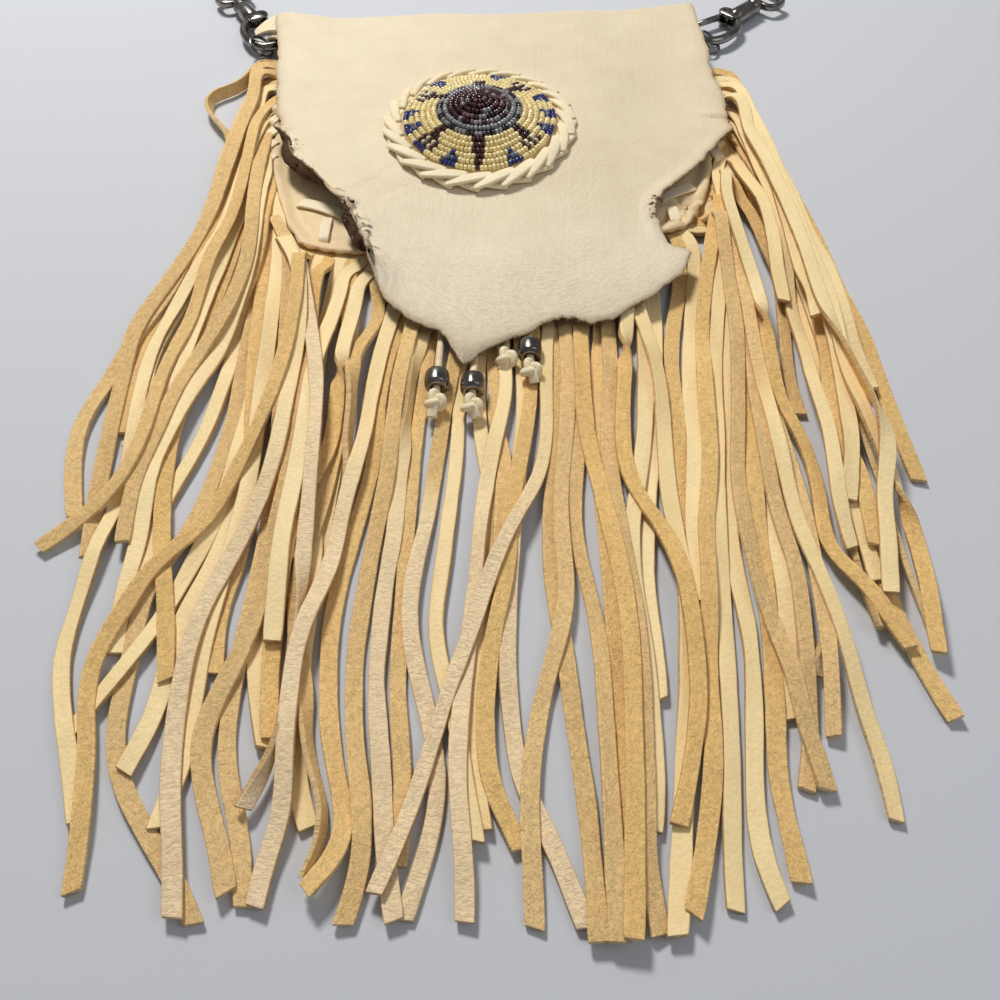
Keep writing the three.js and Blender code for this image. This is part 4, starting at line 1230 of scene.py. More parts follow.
def add_side_laces():
    """Lace whipped over each side seam."""
    for side, (start, end) in WHIP_SPANS.items():
        soup = Soup()
        lean = WHIP_LEAN if side == "left" else -WHIP_LEAN
        place = start + 3
        while place < end - 3:
            inner = seam_place(place - lean * 0.5) + seam_inward(place) * 1.6
            middle = seam_place(place) - seam_inward(place) * 0.6
            outer = seam_place(place + lean * 0.5) - seam_inward(place) * 3.0
            under = outer - seam_inward(place) * 0.1
            points = [(*inner, SEAM_TOP - 0.3), (*(inner + (middle - inner) * 0.3), SEAM_TOP + 0.75),
                      (*middle, SEAM_TOP + 0.95), (*(outer + (middle - outer) * 0.25), SEAM_TOP + 0.6),
                      (*outer, SEAM_TOP - 0.9), (*under, SEAM_TOP - 2.6)]
            lace_strip(soup, points, WHIP_WIDTH, WHIP_THICKNESS, 16)
            place += WHIP_PITCH
        placed(soup.piece(f"whipped_lace_{side}", HIDE_LOOK), f"side_lace_{side}")


def add_corner_laces():
    for name, (low, high, width) in CORNER_STITCHES.items():
        start, end = np.array(pouch_point(low)), np.array(pouch_point(high))
        points = []
        for share, lift in STITCH_LIFTS:
            x, y = start + (end - start) * share
            points.append((x, y, panel_top(x, y) + lift))
        soup = Soup()
        lace_strip(soup, points, width, STITCH_THICKNESS, 26)
        placed(soup.piece(f"stitch_{name}", HIDE_LOOK), f"corner_lace_{name}")


add_side_laces()
add_corner_laces()


# Fringe

# Each strip is traced from its header to its tip, as (look, layer, route in pixels, turns,
# edge stretches). S is suede up, G grain up, P pale creased grain, and a second letter is how it goes
# on below. A turn is a half twist at that share of the strip's length, and an edge stretch stands the
# strip on its edge there. Strips of one layer lie over those before them. L20 and L8 start just past
# the left piece's end, and B30 to B34 cross from the right piece to lie over the bottom one.
STRIPS_LEFT = {
    "L0": ("S", 0, [
        (262, 66), (248, 80), (233, 91), (219, 93), (209, 97), (205, 105), (209, 115), (220, 126),
        (232, 138), (236, 160), (228, 195), (212, 235), (196, 270)], (), ((0.12, 0.5),)),
    "L1": ("S", 0, [
        (262, 68), (232, 150), (205, 215), (172, 280), (140, 330), (118, 362), (101, 392), (83, 420),
        (74, 450), (73, 485), (75, 518)]),
    "L9": ("S", 0, [
        (278, 175), (270, 240), (258, 300), (245, 350), (236, 400), (224, 450), (208, 500), (185, 540),
        (160, 575), (143, 597), (132, 632), (129, 668), (118, 710), (112, 745), (118, 781), (132, 811),
        (152, 842), (169, 873), (188, 898), (194, 924)]),
    "L10": ("G", 0, [
        (280, 190), (276, 250), (268, 310), (258, 360), (245, 420), (232, 470), (215, 520), (195, 560),
        (172, 600), (150, 640), (124, 668), (104, 691), (70, 734)]),
    "L11": ("G", 0, [
        (284, 200), (282, 260), (276, 320), (268, 370), (256, 430), (245, 480), (228, 530), (205, 575),
        (185, 615), (170, 660), (158, 710), (141, 744), (124, 772)]),
    "L21": ("S", 0, [
        (270, 130), (257, 175), (245, 218), (232, 258), (218, 295), (204, 328), (192, 358), (181, 388),
        (172, 418), (162, 450), (150, 486), (140, 520)]),
    "L22": ("G", 1, [
        (268, 104), (256, 150), (243, 198), (228, 243), (214, 280), (201, 315), (190, 346), (179, 376),
        (167, 404), (155, 432), (142, 468), (132, 500)]),
    "L14": ("S", 0, [
        (276, 150), (272, 220), (262, 290), (255, 350), (252, 410), (250, 460), (246, 510), (236, 560),
        (222, 600), (216, 635), (214, 674)]),
    "L17": ("G", 0, [
        (282, 180), (278, 260), (270, 320), (262, 380), (252, 440), (246, 490), (232, 540), (215, 590),
        (203, 640), (196, 680), (189, 725), (182, 767), (168, 800), (156, 828)]),
    "L19": ("G", 0, [
        (290, 225), (298, 280), (303, 340), (306, 400), (298, 450), (285, 500), (272, 550), (262, 600),
        (255, 650), (257, 700), (264, 748)]),
    "L2": ("S", 1, [
        (262, 75), (236, 145), (212, 205), (185, 252), (158, 288), (135, 326), (123, 365), (116, 403),
        (108, 441), (101, 470), (96, 500), (92, 530), (88, 556)]),
    "L16": ("S", 1, [
        (286, 210), (288, 270), (284, 330), (278, 390), (276, 440), (272, 500), (262, 560), (250, 610),
        (240, 650), (232, 690), (227, 725), (225, 766), (233, 803), (241, 837), (244, 873), (243, 907)]),
    "L7": ("S", 1, [
        (274, 160), (266, 215), (250, 270), (232, 310), (215, 345), (200, 375), (185, 400), (169, 441),
        (165, 480), (161, 518), (163, 556), (164, 584), (166, 626), (166, 680)]),
    "L6": ("G", 1, [
        (272, 140), (262, 200), (252, 250), (235, 300), (215, 345), (190, 395), (170, 430), (154, 460),
        (146, 489), (142, 518), (138, 542), (129, 573), (120, 615), (114, 652)]),
    "L5": ("S", 1, [
        (270, 120), (258, 180), (249, 250), (240, 269), (227, 298), (209, 326), (192, 357), (179, 384),
        (165, 413), (158, 432), (142, 460), (131, 489), (122, 541)]),
    "L4": ("G", 2, [
        (266, 110), (246, 165), (228, 215), (200, 262), (172, 300), (154, 336), (142, 384), (135, 422),
        (128, 460), (119, 490), (110, 518), (96, 556), (73, 607), (62, 640), (59, 674), (65, 713),
        (70, 767), (76, 823)]),
    "L13": ("S", 2, [
        (296, 240), (306, 290), (306, 330), (300, 374), (301, 403), (297, 431), (291, 454), (285, 479),
        (278, 508), (268, 538), (264, 570), (258, 612), (250, 635), (233, 668), (211, 702), (200, 730),
        (197, 761), (205, 795), (216, 837), (225, 868), (226, 893)]),
    "L3": ("S", 3, [
        (268, 95), (250, 150), (235, 205), (207, 255), (198, 288), (188, 317), (173, 350), (160, 384),
        (152, 422), (139, 451), (121, 476), (96, 499), (68, 525), (39, 548)]),
    "L12": ("GP", 3, [
        (292, 232), (300, 270), (300, 310), (296, 347), (290, 375), (285, 400), (281, 431), (272, 466),
        (255, 498), (238, 530), (222, 562), (205, 593), (191, 635), (183, 668), (176, 702), (172, 738),
        (170, 781), (171, 823), (173, 865), (173, 918)]),
}
STRIPS_BOTTOM = {
    "B38": ("G", 0, [
        (356, 262), (352, 330), (344, 400), (336, 460), (326, 520), (314, 580), (305, 640), (300, 700),
        (297, 750), (297, 788), (304, 818), (308, 828)]),
    "B39": ("G", 0, [
        (340, 262), (322, 340), (312, 400), (304, 440), (307, 462), (312, 489), (314, 527), (314, 560),
        (310, 600)]),
    "B37": ("S", 0, [
        (344, 262), (350, 320), (345, 380), (338, 430), (330, 480), (318, 520), (305, 550), (297, 585),
        (294, 627), (303, 680), (306, 721), (306, 748), (311, 775), (322, 791), (328, 809), (322, 833),
        (314, 855), (307, 877)], (), ((0.8, 1.0),)),
    "B15": ("G", 0, [
        (478, 378), (479, 415), (482, 445), (489, 480), (496, 520), (494, 549), (487, 585), (478, 640),
        (472, 686), (472, 721), (474, 761), (479, 800), (484, 830)]),
    "B17": ("S", 0, [
        (494, 365), (496, 396), (494, 415), (500, 440), (505, 463), (503, 491), (502, 515), (500, 545)]),
    "B36": ("GP", 0, [
        (520, 345), (524, 400), (521, 450), (516, 500), (512, 550), (510, 595), (507, 627), (507, 667),
        (509, 705), (514, 745), (521, 782), (532, 805), (546, 829), (560, 861), (574, 896), (587, 928)]),
    "B28": ("G", 0, [
        (655, 310), (656, 360), (655, 420), (652, 472), (649, 501), (648, 539), (647, 577), (651, 615),
        (657, 660), (660, 700)]),
    "B2": ("G", 0, [
        (322, 252), (310, 269), (302, 294), (300, 317), (302, 345), (306, 365), (310, 400), (312, 440),
        (305, 480), (296, 520), (290, 560)]),
    "B3": ("S", 1, [
        (337, 255), (323, 272), (318, 290), (312, 317), (308, 347), (306, 380), (304, 420), (300, 460),
        (296, 500)]),
    "B6": ("S", 1, [
        (376, 261), (375, 278), (378, 297), (379, 317), (371, 336), (360, 349), (353, 364), (352, 393),
        (349, 422), (346, 440), (348, 465), (346, 490), (343, 515)], (), ((0.55, 1.0),)),
    "B11": ("S", 1, [
        (431, 340), (427, 370), (423, 393), (419, 422), (415, 450), (411, 489), (409, 520), (405, 560),
        (403, 600), (400, 640), (397, 681), (399, 721), (402, 761), (403, 801), (400, 836), (398, 866)]),
    "B24": ("S", 1, [
        (599, 330), (599, 357), (596, 386), (593, 415), (596, 460), (603, 510), (608, 560), (611, 607),
        (615, 647), (618, 700), (620, 754), (619, 800), (620, 850), (622, 900), (622, 940)]),
    "B27": ("G", 1, [
        (643, 330), (645, 376), (645, 415), (643, 453), (638, 485), (632, 520), (631, 558), (636, 600),
        (644, 645), (650, 690), (654, 740), (655, 790), (653, 830)]),
    "B20": ("S", 1, [
        (559, 325), (559, 376), (560, 415), (558, 453), (553, 482), (550, 510), (550, 549), (554, 590),
        (560, 625), (566, 655), (570, 690), (573, 715), (579, 754), (586, 795), (590, 835), (595, 888),
        (599, 942)]),
    "B18": ("S", 1, [
        (533, 350), (532, 386), (529, 415), (524, 443), (519, 472), (514, 495), (509, 525), (509, 573),
        (500, 595), (493, 634), (487, 674), (485, 714), (487, 765), (493, 795), (504, 814), (516, 834),
        (520, 850)]),
    "B13": ("G", 1, [
        (460, 370), (459, 400), (458, 430), (456, 470), (452, 498), (448, 527), (444, 560), (439, 590),
        (435, 616), (437, 646), (443, 672), (450, 700), (458, 730), (462, 761), (468, 801), (475, 841)]),
    "B22": ("S", 2, [
        (583, 335), (584, 380), (580, 415), (578, 443), (577, 472), (574, 491), (574, 520), (578, 549),
        (586, 578), (595, 615), (601, 648), (603, 687), (606, 727), (609, 768), (611, 808), (614, 848),
        (616, 888), (618, 942)]),
    "B25": ("S", 2, [
        (608, 330), (612, 367), (609, 396), (607, 424), (609, 453), (613, 491), (618, 520), (624, 560),
        (632, 600), (640, 650), (644, 700), (646, 750), (645, 800), (646, 850), (652, 890), (661, 935)]),
    "B12": ("SP", 2, [
        (450, 385), (446, 403), (442, 422), (438, 450), (433, 479), (429, 508), (423, 538), (415, 568),
        (410, 600), (410, 640), (418, 675), (426, 702), (431, 729), (437, 761), (439, 788), (434, 823),
        (426, 855), (415, 887), (404, 920)]),
    "B7": ("S", 2, [
        (402, 322), (391, 347), (383, 374), (379, 403), (377, 431), (375, 460), (371, 480), (364, 500),
        (356, 527), (348, 555), (338, 587), (331, 627), (329, 667), (328, 707), (331, 748), (338, 782),
        (345, 815), (346, 847), (332, 866), (318, 877), (305, 891)]),
    "B10": ("GP", 2, [
        (425, 330), (419, 350), (413, 376), (408, 412), (405, 435), (402, 456), (398, 480), (396, 508),
        (396, 530), (389, 560), (384, 585), (382, 614), (378, 648), (376, 681), (378, 721), (380, 761),
        (383, 801), (384, 836), (386, 866), (391, 895), (394, 921)], (), ((0.24, 0.38),)),
    "B29": ("S", 2, [
        (637, 311), (647, 334), (654, 357), (660, 380), (662, 403), (665, 434), (668, 462), (669, 491),
        (673, 520), (679, 549), (686, 587), (689, 630), (689, 674), (688, 714), (686, 754), (684, 800),
        (682, 848), (680, 888), (678, 936)], (0.14,)),
    "B5": ("G", 2, [
        (367, 257), (362, 278), (352, 317), (345, 347), (339, 374), (336, 393), (336, 405), (334, 422),
        (331, 441), (325, 466), (312, 485), (301, 502), (291, 523), (284, 550), (277, 590), (272, 630),
        (270, 682), (270, 738)], (0.34,)),
    "B4": ("G", 2, [
        (351, 255), (345, 278), (333, 317), (322, 347), (314, 374), (308, 403), (304, 428), (299, 450),
        (293, 480), (286, 515), (280, 550), (276, 590), (272, 640)]),
    "B16": ("GP", 2, [
        (503, 352), (508, 376), (507, 400), (499, 422), (492, 449), (488, 472), (484, 501), (480, 530),
        (478, 568), (474, 600), (468, 650), (462, 700), (458, 745), (457, 788), (461, 828), (464, 858),
        (465, 895), (465, 922)]),
    "B21": ("S", 2, [
        (565, 325), (568, 376), (568, 410), (566, 440), (562, 472), (560, 510), (563, 548), (568, 580),
        (566, 615), (555, 652), (544, 690), (537, 727), (531, 768), (529, 808), (531, 848), (534, 888),
        (535, 928)]),
    "B8": ("S", 3, [
        (413, 326), (408, 355), (400, 383), (394, 412), (391, 441), (388, 470), (383, 494), (376, 517),
        (371, 540), (366, 575), (361, 608), (356, 640), (354, 680), (354, 721), (357, 761), (361, 790),
        (363, 828), (362, 858), (355, 888), (343, 925)]),
    "B9": ("GP", 3, [
        (392, 317), (382, 350), (373, 388), (367, 422), (364, 450), (354, 480), (345, 508), (336, 540),
        (326, 575), (316, 605), (303, 635), (292, 675), (288, 713), (284, 748), (283, 788), (276, 828),
        (265, 860), (258, 890), (255, 907)]),
    "B23": ("S", 3, [
        (580, 330), (582, 386), (582, 415), (589, 443), (598, 472), (604, 505), (611, 540), (621, 580),
        (629, 620), (632, 660), (634, 700), (635, 741), (635, 781), (635, 821), (635, 861), (635, 901),
        (634, 939)]),
    "B26": ("G", 3, [
        (626, 328), (626, 357), (624, 396), (623, 424), (623, 449), (625, 465), (629, 482), (639, 499),
        (652, 516), (665, 532), (675, 553), (683, 577), (690, 605), (697, 645), (700, 680), (698, 715),
        (694, 745), (688, 785), (679, 825)], (0.27,)),
    "B19": ("GP", 3, [
        (548, 323), (546, 348), (545, 376), (547, 405), (547, 434), (544, 462), (537, 484), (526, 507),
        (514, 527), (503, 548), (491, 572), (480, 600), (467, 640), (453, 673), (445, 702), (434, 734),
        (426, 761), (415, 796), (405, 828), (391, 858), (375, 894)]),
    "L20": ("P", 2, [
        (298, 240), (310, 320), (318, 400), (310, 470), (302, 540), (298, 600), (292, 660), (284, 715),
        (273, 753), (258, 780), (243, 808)], (), ((0.7, 0.95),)),
    "L8": ("S", 3, [
        (300, 252), (297, 297), (289, 326), (285, 347), (274, 385), (264, 406), (249, 431), (230, 460),
        (216, 495), (188, 536), (160, 562), (132, 593), (104, 632), (88, 668), (84, 702), (87, 740),
        (86, 781), (82, 823), (76, 859), (72, 893)]),
}
STRIPS_RIGHT = {
    "R25": ("G", 0, [
        (718, 210), (728, 260), (736, 320), (742, 380), (747, 430), (752, 470), (759, 505), (765, 542),
        (769, 575), (772, 600)]),
    "R23": ("G", 0, [
        (722, 225), (735, 290), (745, 350), (755, 420), (765, 480), (775, 540), (785, 590), (789, 630),
        (790, 665), (788, 720)]),
    "R24": ("S", 0, [
        (724, 220), (736, 280), (744, 340), (750, 400), (752, 450), (757, 510), (765, 570), (770, 620),
        (774, 670), (775, 708), (776, 746), (779, 784), (787, 823), (796, 855), (802, 883)]),
    "R22": ("P", 0, [
        (725, 205), (742, 270), (757, 340), (772, 400), (790, 460), (805, 510), (818, 560), (828, 605),
        (827, 640), (820, 660), (815, 675)], (), ((0.75, 1.0),)),
    "R21": ("S", 0, [
        (728, 200), (745, 260), (758, 320), (770, 380), (785, 440), (800, 500), (812, 550), (822, 600),
        (829, 640), (833, 680), (834, 736)]),
    "R20": ("S", 0, [
        (730, 140), (765, 210), (800, 290), (822, 350), (838, 400), (850, 450), (862, 500), (874, 550),
        (886, 590), (899, 619), (912, 645), (925, 670), (940, 698), (956, 719)]),
    "R15": ("G", 0, [
        (733, 160), (765, 225), (795, 290), (815, 350), (826, 400), (835, 450), (845, 510), (855, 560),
        (865, 593), (876, 616), (881, 628)], (), ((0.6, 1.0),)),
    "R14": ("G", 1, [
        (735, 150), (772, 215), (802, 280), (822, 340), (832, 390), (842, 430), (850, 480), (858, 516),
        (868, 547), (878, 580)]),
    "R13": ("S", 1, [
        (735, 140), (770, 200), (800, 260), (816, 300), (824, 340), (827, 370), (830, 400), (838, 430),
        (850, 455), (862, 478), (870, 511), (876, 545)]),
    "R19": ("S", 1, [
        (732, 120), (775, 190), (810, 260), (835, 320), (850, 380), (865, 430), (880, 480), (892, 520),
        (901, 555), (912, 585), (922, 608), (930, 624)], (), ((0.5, 1.0),)),
    "R16": ("S", 1, [
        (728, 70), (748, 110), (775, 165), (805, 217), (824, 256), (840, 295), (857, 323), (870, 353),
        (881, 386), (892, 414), (902, 440), (913, 466), (919, 481)]),
    "R17": ("G", 1, [
        (732, 80), (760, 130), (790, 190), (806, 225), (820, 256), (833, 284), (844, 310), (855, 340),
        (864, 365), (872, 390)]),
    "R1": ("G", 1, [
        (727, 240), (729, 300), (731, 360), (733, 420), (731, 470), (729, 516), (733, 562), (743, 603),
        (751, 644), (753, 682), (755, 733), (754, 784), (756, 823), (762, 860), (774, 890), (783, 906)]),
    "R3": ("S", 1, [
        (716, 180), (728, 230), (738, 275), (747, 320), (755, 370), (760, 410), (764, 450), (773, 490),
        (784, 524), (794, 555), (801, 588), (804, 620), (805, 650), (809, 680), (812, 715), (812, 750),
        (807, 790)]),
    "R7": ("S", 2, [
        (728, 180), (742, 200), (759, 230), (767, 256), (776, 280), (781, 300), (784, 330), (787, 364),
        (792, 392), (800, 415)]),
    "R11": ("G", 2, [
        (735, 130), (768, 185), (798, 235), (812, 270), (822, 300), (835, 332), (842, 375), (848, 418),
        (852, 445), (850, 473), (848, 500)]),
    "R8": ("G", 2, [
        (733, 120), (755, 165), (776, 206), (787, 241), (792, 278), (798, 314), (805, 353), (811, 386),
        (820, 418), (828, 451), (837, 490), (845, 521), (851, 549)]),
    "R9": ("G", 2, [
        (728, 150), (748, 191), (764, 213), (774, 236), (778, 265), (784, 300)]),
    "R12": ("G", 2, [
        (735, 100), (765, 160), (785, 210), (797, 250), (803, 275), (811, 292), (817, 317)]),
    "R18": ("G", 2, [
        (733, 90), (765, 150), (797, 215), (820, 270), (838, 325), (850, 370), (862, 402), (876, 432),
        (890, 455), (903, 478), (912, 508), (919, 540), (923, 567), (927, 593), (934, 619), (940, 652)],
        (0.83,)),
    "R5": ("SG", 3, [
        (722, 190), (731, 234), (744, 267), (749, 310), (757, 353), (770, 397), (779, 440), (788, 480),
        (797, 510), (803, 528), (815, 556), (828, 594), (840, 624), (853, 657), (863, 690), (873, 721),
        (881, 754), (889, 787), (896, 821)]),
    "R6": ("G", 3, [
        (716, 178), (727, 208), (740, 241), (755, 267), (763, 301), (770, 336), (779, 375), (787, 401),
        (802, 425), (813, 451), (820, 484), (828, 524), (838, 550), (853, 573), (873, 593), (889, 613),
        (902, 634), (911, 647)], (0.45,)),
    "R10": ("G", 3, [
        (735, 110), (762, 160), (790, 210), (805, 241), (812, 267), (822, 299), (832, 321), (845, 345),
        (858, 370), (870, 392), (883, 410), (893, 436), (893, 455), (886, 476), (885, 504), (889, 542),
        (890, 567), (891, 593)], (), ((0.62, 0.76),)),
    "B30": ("S", 0, [
        (680, 262), (679, 293), (672, 332), (672, 375), (676, 408), (677, 436), (680, 462), (682, 500),
        (688, 540), (697, 580), (705, 620)]),
    "B31": ("G", 0, [
        (695, 240), (694, 267), (692, 310), (689, 353), (690, 397), (694, 440), (694, 473), (693, 520),
        (698, 560), (703, 600)]),
    "B32": ("S", 2, [
        (716, 197), (716, 223), (709, 256), (705, 288), (705, 332), (705, 375), (707, 408), (711, 436),
        (713, 462), (708, 494), (704, 520), (708, 556), (710, 594), (710, 647), (711, 700), (713, 741),
        (713, 781), (710, 821), (703, 861), (694, 915)]),
    "B33": ("G", 1, [
        (722, 235), (720, 267), (718, 332), (720, 375), (722, 408), (721, 440), (718, 480), (719, 530),
        (721, 567), (726, 620), (729, 674), (730, 727), (732, 781), (732, 835), (734, 888), (736, 911)]),
    "B34": ("S", 3, [
        (722, 215), (727, 250), (733, 288), (738, 332), (740, 375), (740, 408), (737, 440), (738, 470),
        (741, 495), (746, 524), (753, 560), (764, 593), (774, 624), (787, 657), (797, 690), (807, 721),
        (817, 754), (828, 790)]),
}

SIDE_PIECE = 133.0
PIECE_GAP = 0.4
left_end = FRINGE_TOP_GAP + SIDE_PIECE
right_end = seam_length - FRINGE_TOP_GAP
# Where each fringe piece sits along the seam, as distances from the left mouth corner
FRINGES = {
    "left": (STRIPS_LEFT, FRINGE_TOP_GAP, left_end),
    "bottom": (STRIPS_BOTTOM, left_end + PIECE_GAP, right_end - SIDE_PIECE - PIECE_GAP),
    "right": (STRIPS_RIGHT, right_end - SIDE_PIECE, right_end),
}

# Points of a route as it is traced, as it is kept near the pouch, and as it is eased
ROUTE_POINTS = 60
KEPT_POINTS = 20
EASED_POINTS = 200
# Distance from one point of a finished strip to the next, and length of its root under the seam
STRIP_STEP = 2.2
HEADER_WIDTH = 7
# Height field that the strips are laid on: cell size, and its box as low x, low y, high x, high y
CELL = 0.6
FIELD = (-190.0, -390.0, 190.0, 110.0)
# How much of a strip's thickness the next one lies on, and how steeply a strip may climb
PILE_SHARE = 0.72
SLOPE = 0.24
LAYING_ROUNDS = 3
WHISKERS = 14


class Strip:
    """One strip: its plan and height along its length, its roll and its look."""

    def __init__(self, name, side, look, layer, route, turns=(), edges=()):
        rng = np.random.default_rng(seed_of(name))
        self.name, self.side, self.look, self.layer = name, side, look, layer
        self.width = STRIP_WIDTH * rng.uniform(0.93, 1.12)
        self.thickness = STRIP * rng.uniform(0.88, 1.12)
        self.pixels = np.array(route, float)
        self.turns, self.edges = turns, edges

    def root_guess(self):
        """Where the strip meets the seam if its first stretch is carried on upward."""
        first = np.array(seen_at(*self.pixels[0], 3.0))
        later = np.array(seen_at(*self.pixels[min(3, len(self.pixels) - 1)], 2.0))
        away = np.hypot(seam[:, 0] - first[0], seam[:, 1] - first[1])
        if away.min() < 12:
            return seam_along[away.argmin()]
        way = (first - later) / np.linalg.norm(first - later) + np.array([0, 1.0])
        way /= np.linalg.norm(way)
        spots = first + way * np.arange(0, 120, 1.0)[:, None]
        gaps = np.hypot(seam[None, :, 0] - spots[:, None, 0], seam[None, :, 1] - spots[:, None, 1])
        return seam_along[np.unravel_index(gaps.argmin(), gaps.shape)[1]]

    def settle(self, heights=None):
        """Plan points from the traced pixels, seen at the heights that the strip has there."""
        pixels = eased_line(spline(self.pixels, ROUTE_POINTS), 3)
        level = np.full(ROUTE_POINTS, 3.0) if heights is None else heights
        plan = np.array([seen_at(px, py, z) for (px, py), z in zip(pixels, level)])
        root = seam_place(self.root)
        inward = seam_inward(self.root)
        header = [root + inward * 5, root + inward * 1.5]
        keep = plan[np.linspace(0, ROUTE_POINTS - 1, KEPT_POINTS).astype(int)]
        away = np.linalg.norm(keep - root, axis=1)
        if away.min() < 18:
            first = int(away.argmin())
            keep = keep[first:]
            keep = keep[np.linalg.norm(keep - root, axis=1) > 11]
            lead = [root - inward * 3.5]
        else:
            lead = [root - inward * 4, root * 0.6 + keep[0] * 0.4]
        points = np.vstack([header, lead, keep])
        self.count = int(distances(points)[-1] / STRIP_STEP) + 2
        line = spline(points, EASED_POINTS)
        line = eased_line(outside_pouch(line, 8.0, 2.2), 6)
        self.plan = resample(line, self.count)
        self.along = distances(self.plan)
        share = self.along / self.along[-1]
        seeded = np.random.default_rng(seed_of(self.name))
        roll = wander(seeded, self.count, 18, 0.17) * smooth(self.along, 10, 40)
        flip = np.zeros(self.count)
        for place in self.turns:
            flip = flip + math.pi * smooth(share, place - 0.05, place + 0.05)
        stand = np.zeros(self.count)
        for low, high in self.edges:
            fade = 1 - smooth(share, high - 0.04, high + 0.06)
            stand = np.maximum(stand, smooth(share, low - 0.06, low + 0.04) * fade)
        self.roll = roll + flip + stand * 1.25
        self.half = (self.width / 2 * np.abs(np.sin(self.roll))
                     + self.thickness / 2 * np.abs(np.cos(self.roll)))


def outside_pouch(line, free, margin):
    """Move a line's points out of the pouch, but for its first free millimetres."""
    line = line.copy()
    gaps = np.hypot(seam[None, :, 0] - line[:, None, 0], seam[None, :, 1] - line[:, None, 1])
    nearest = gaps.argmin(axis=1)
    way = np.gradient(seam, axis=0)
    way /= np.linalg.norm(way, axis=1)[:, None]
    out = np.stack([way[:, 1], -way[:, 0]], axis=1)[nearest]
    depth = np.sum((line - seam[nearest]) * out, axis=1)
    caught = (distances(line) > free) & (depth < margin) & (line[:, 1] < 70) & (gaps.min(axis=1) < 30)
    line[caught] = seam[nearest[caught]] + out[caught] * margin
    return line


def eased_line(points, times):
    """Points along a line with their small kinks smoothed out; the ends stay."""
    points = points.copy()
    for _ in range(times):
        inner = (points[:-4] + 2 * points[1:-3] + 3 * points[2:-2] + 2 * points[3:-1] + points[4:]) / 9
        points[2:-2] = inner
    return points


def seed_of(text):
    """A number that stands for a name, to seed what is random about a strip."""
    return sum((i + 7) * 131 * ord(letter) for i, letter in enumerate(text))


def cells_of(strip):
    """Cells of the height field under each point of a strip."""
    way = np.gradient(strip.plan, axis=0)
    way /= np.linalg.norm(way, axis=1)[:, None]
    side = np.stack([way[:, 1], -way[:, 0]], axis=1)
    reach = strip.width / 2 * np.abs(np.cos(strip.roll)) + strip.thickness / 2 * np.abs(np.sin(strip.roll))
    offsets = np.linspace(-1, 1, 9)[None, :, None]
    spots = strip.plan[:, None, :] + side[:, None, :] * offsets * reach[:, None, None]
    forward = spots + way[:, None, :] * 1.2
    spots = np.concatenate([spots, forward], axis=1)
    i = ((spots[:, :, 0] - FIELD[0]) / CELL).astype(int)
    j = ((spots[:, :, 1] - FIELD[1]) / CELL).astype(int)
    return i, j


def inside_flap(x, y):
    """Whether places lie under the flap."""
    line = np.array([flap_point(p) for p in FLAP_LEFT + FLAP_BOTTOM[1:-1] + FLAP_RIGHT[::-1]])
    inside = np.zeros(x.shape, bool)
    for (ax, ay), (bx, by) in zip(line, np.roll(line, -1, axis=0)):
        crosses = (ay > y) != (by > y)
        cut = ax + (y - ay) * (bx - ax) / (by - ay if abs(by - ay) > 1e-9 else 1e-9)
        inside ^= crosses & (x < cut)
    return inside


def lay(strips):
    """Lay the strips on the floor and on each other, lowest layer first."""
    size = (int((FIELD[2] - FIELD[0]) / CELL) + 2, int((FIELD[3] - FIELD[1]) / CELL) + 2)
    field = np.zeros(size)
    root_level = HEADER_BOTTOM + HIDE / 2
    for strip in strips:
        i, j = cells_of(strip)
        found = np.sort(field[i, j], axis=1)
        support = found[:, -3] + 0.05
        lowest = support + strip.half
        header = strip.along < HEADER_WIDTH
        x, y = strip.plan[:, 0], strip.plan[:, 1]
        ceiling = np.where(inside_flap(x, y), flap_top(x, y) - HIDE - strip.half - 0.25, 60.0)
        reach = np.abs(strip.along[:, None] - strip.along[None, :])
        ceiling = (ceiling[None, :] + SLOPE * 2 * reach).min(axis=1)
        centre = np.where(header, root_level, lowest)
        tent = centre[None, :] - SLOPE * np.maximum(reach - 2.0, 0)
        tent[:, header] = -99
        centre = np.maximum(tent.max(axis=1), centre)
        for _ in range(4):
            padded = np.pad(centre, 3, mode="edge")
            kernel = np.array([1, 2, 3, 3, 3, 2, 1.0])
            eased = np.convolve(padded, kernel / kernel.sum(), mode="valid")
            centre = np.maximum(eased, np.minimum(centre, lowest - 0.35))
        start = smooth(strip.along, 6, 24)
        centre = root_level * (1 - start) + centre * start
        centre = np.maximum(centre, np.where(header, root_level, strip.half + 0.02))
        centre = np.minimum(centre, ceiling)
        centre = np.maximum(centre, np.where(header, root_level, strip.half + 0.02))
        strip.height = centre
        top = centre + strip.half * (2 * PILE_SHARE - 1)
        use = strip.along > 10
        cells = np.repeat(top[use][:, None], i.shape[1], axis=1)
        np.maximum.at(field, (i[use], j[use]), cells)


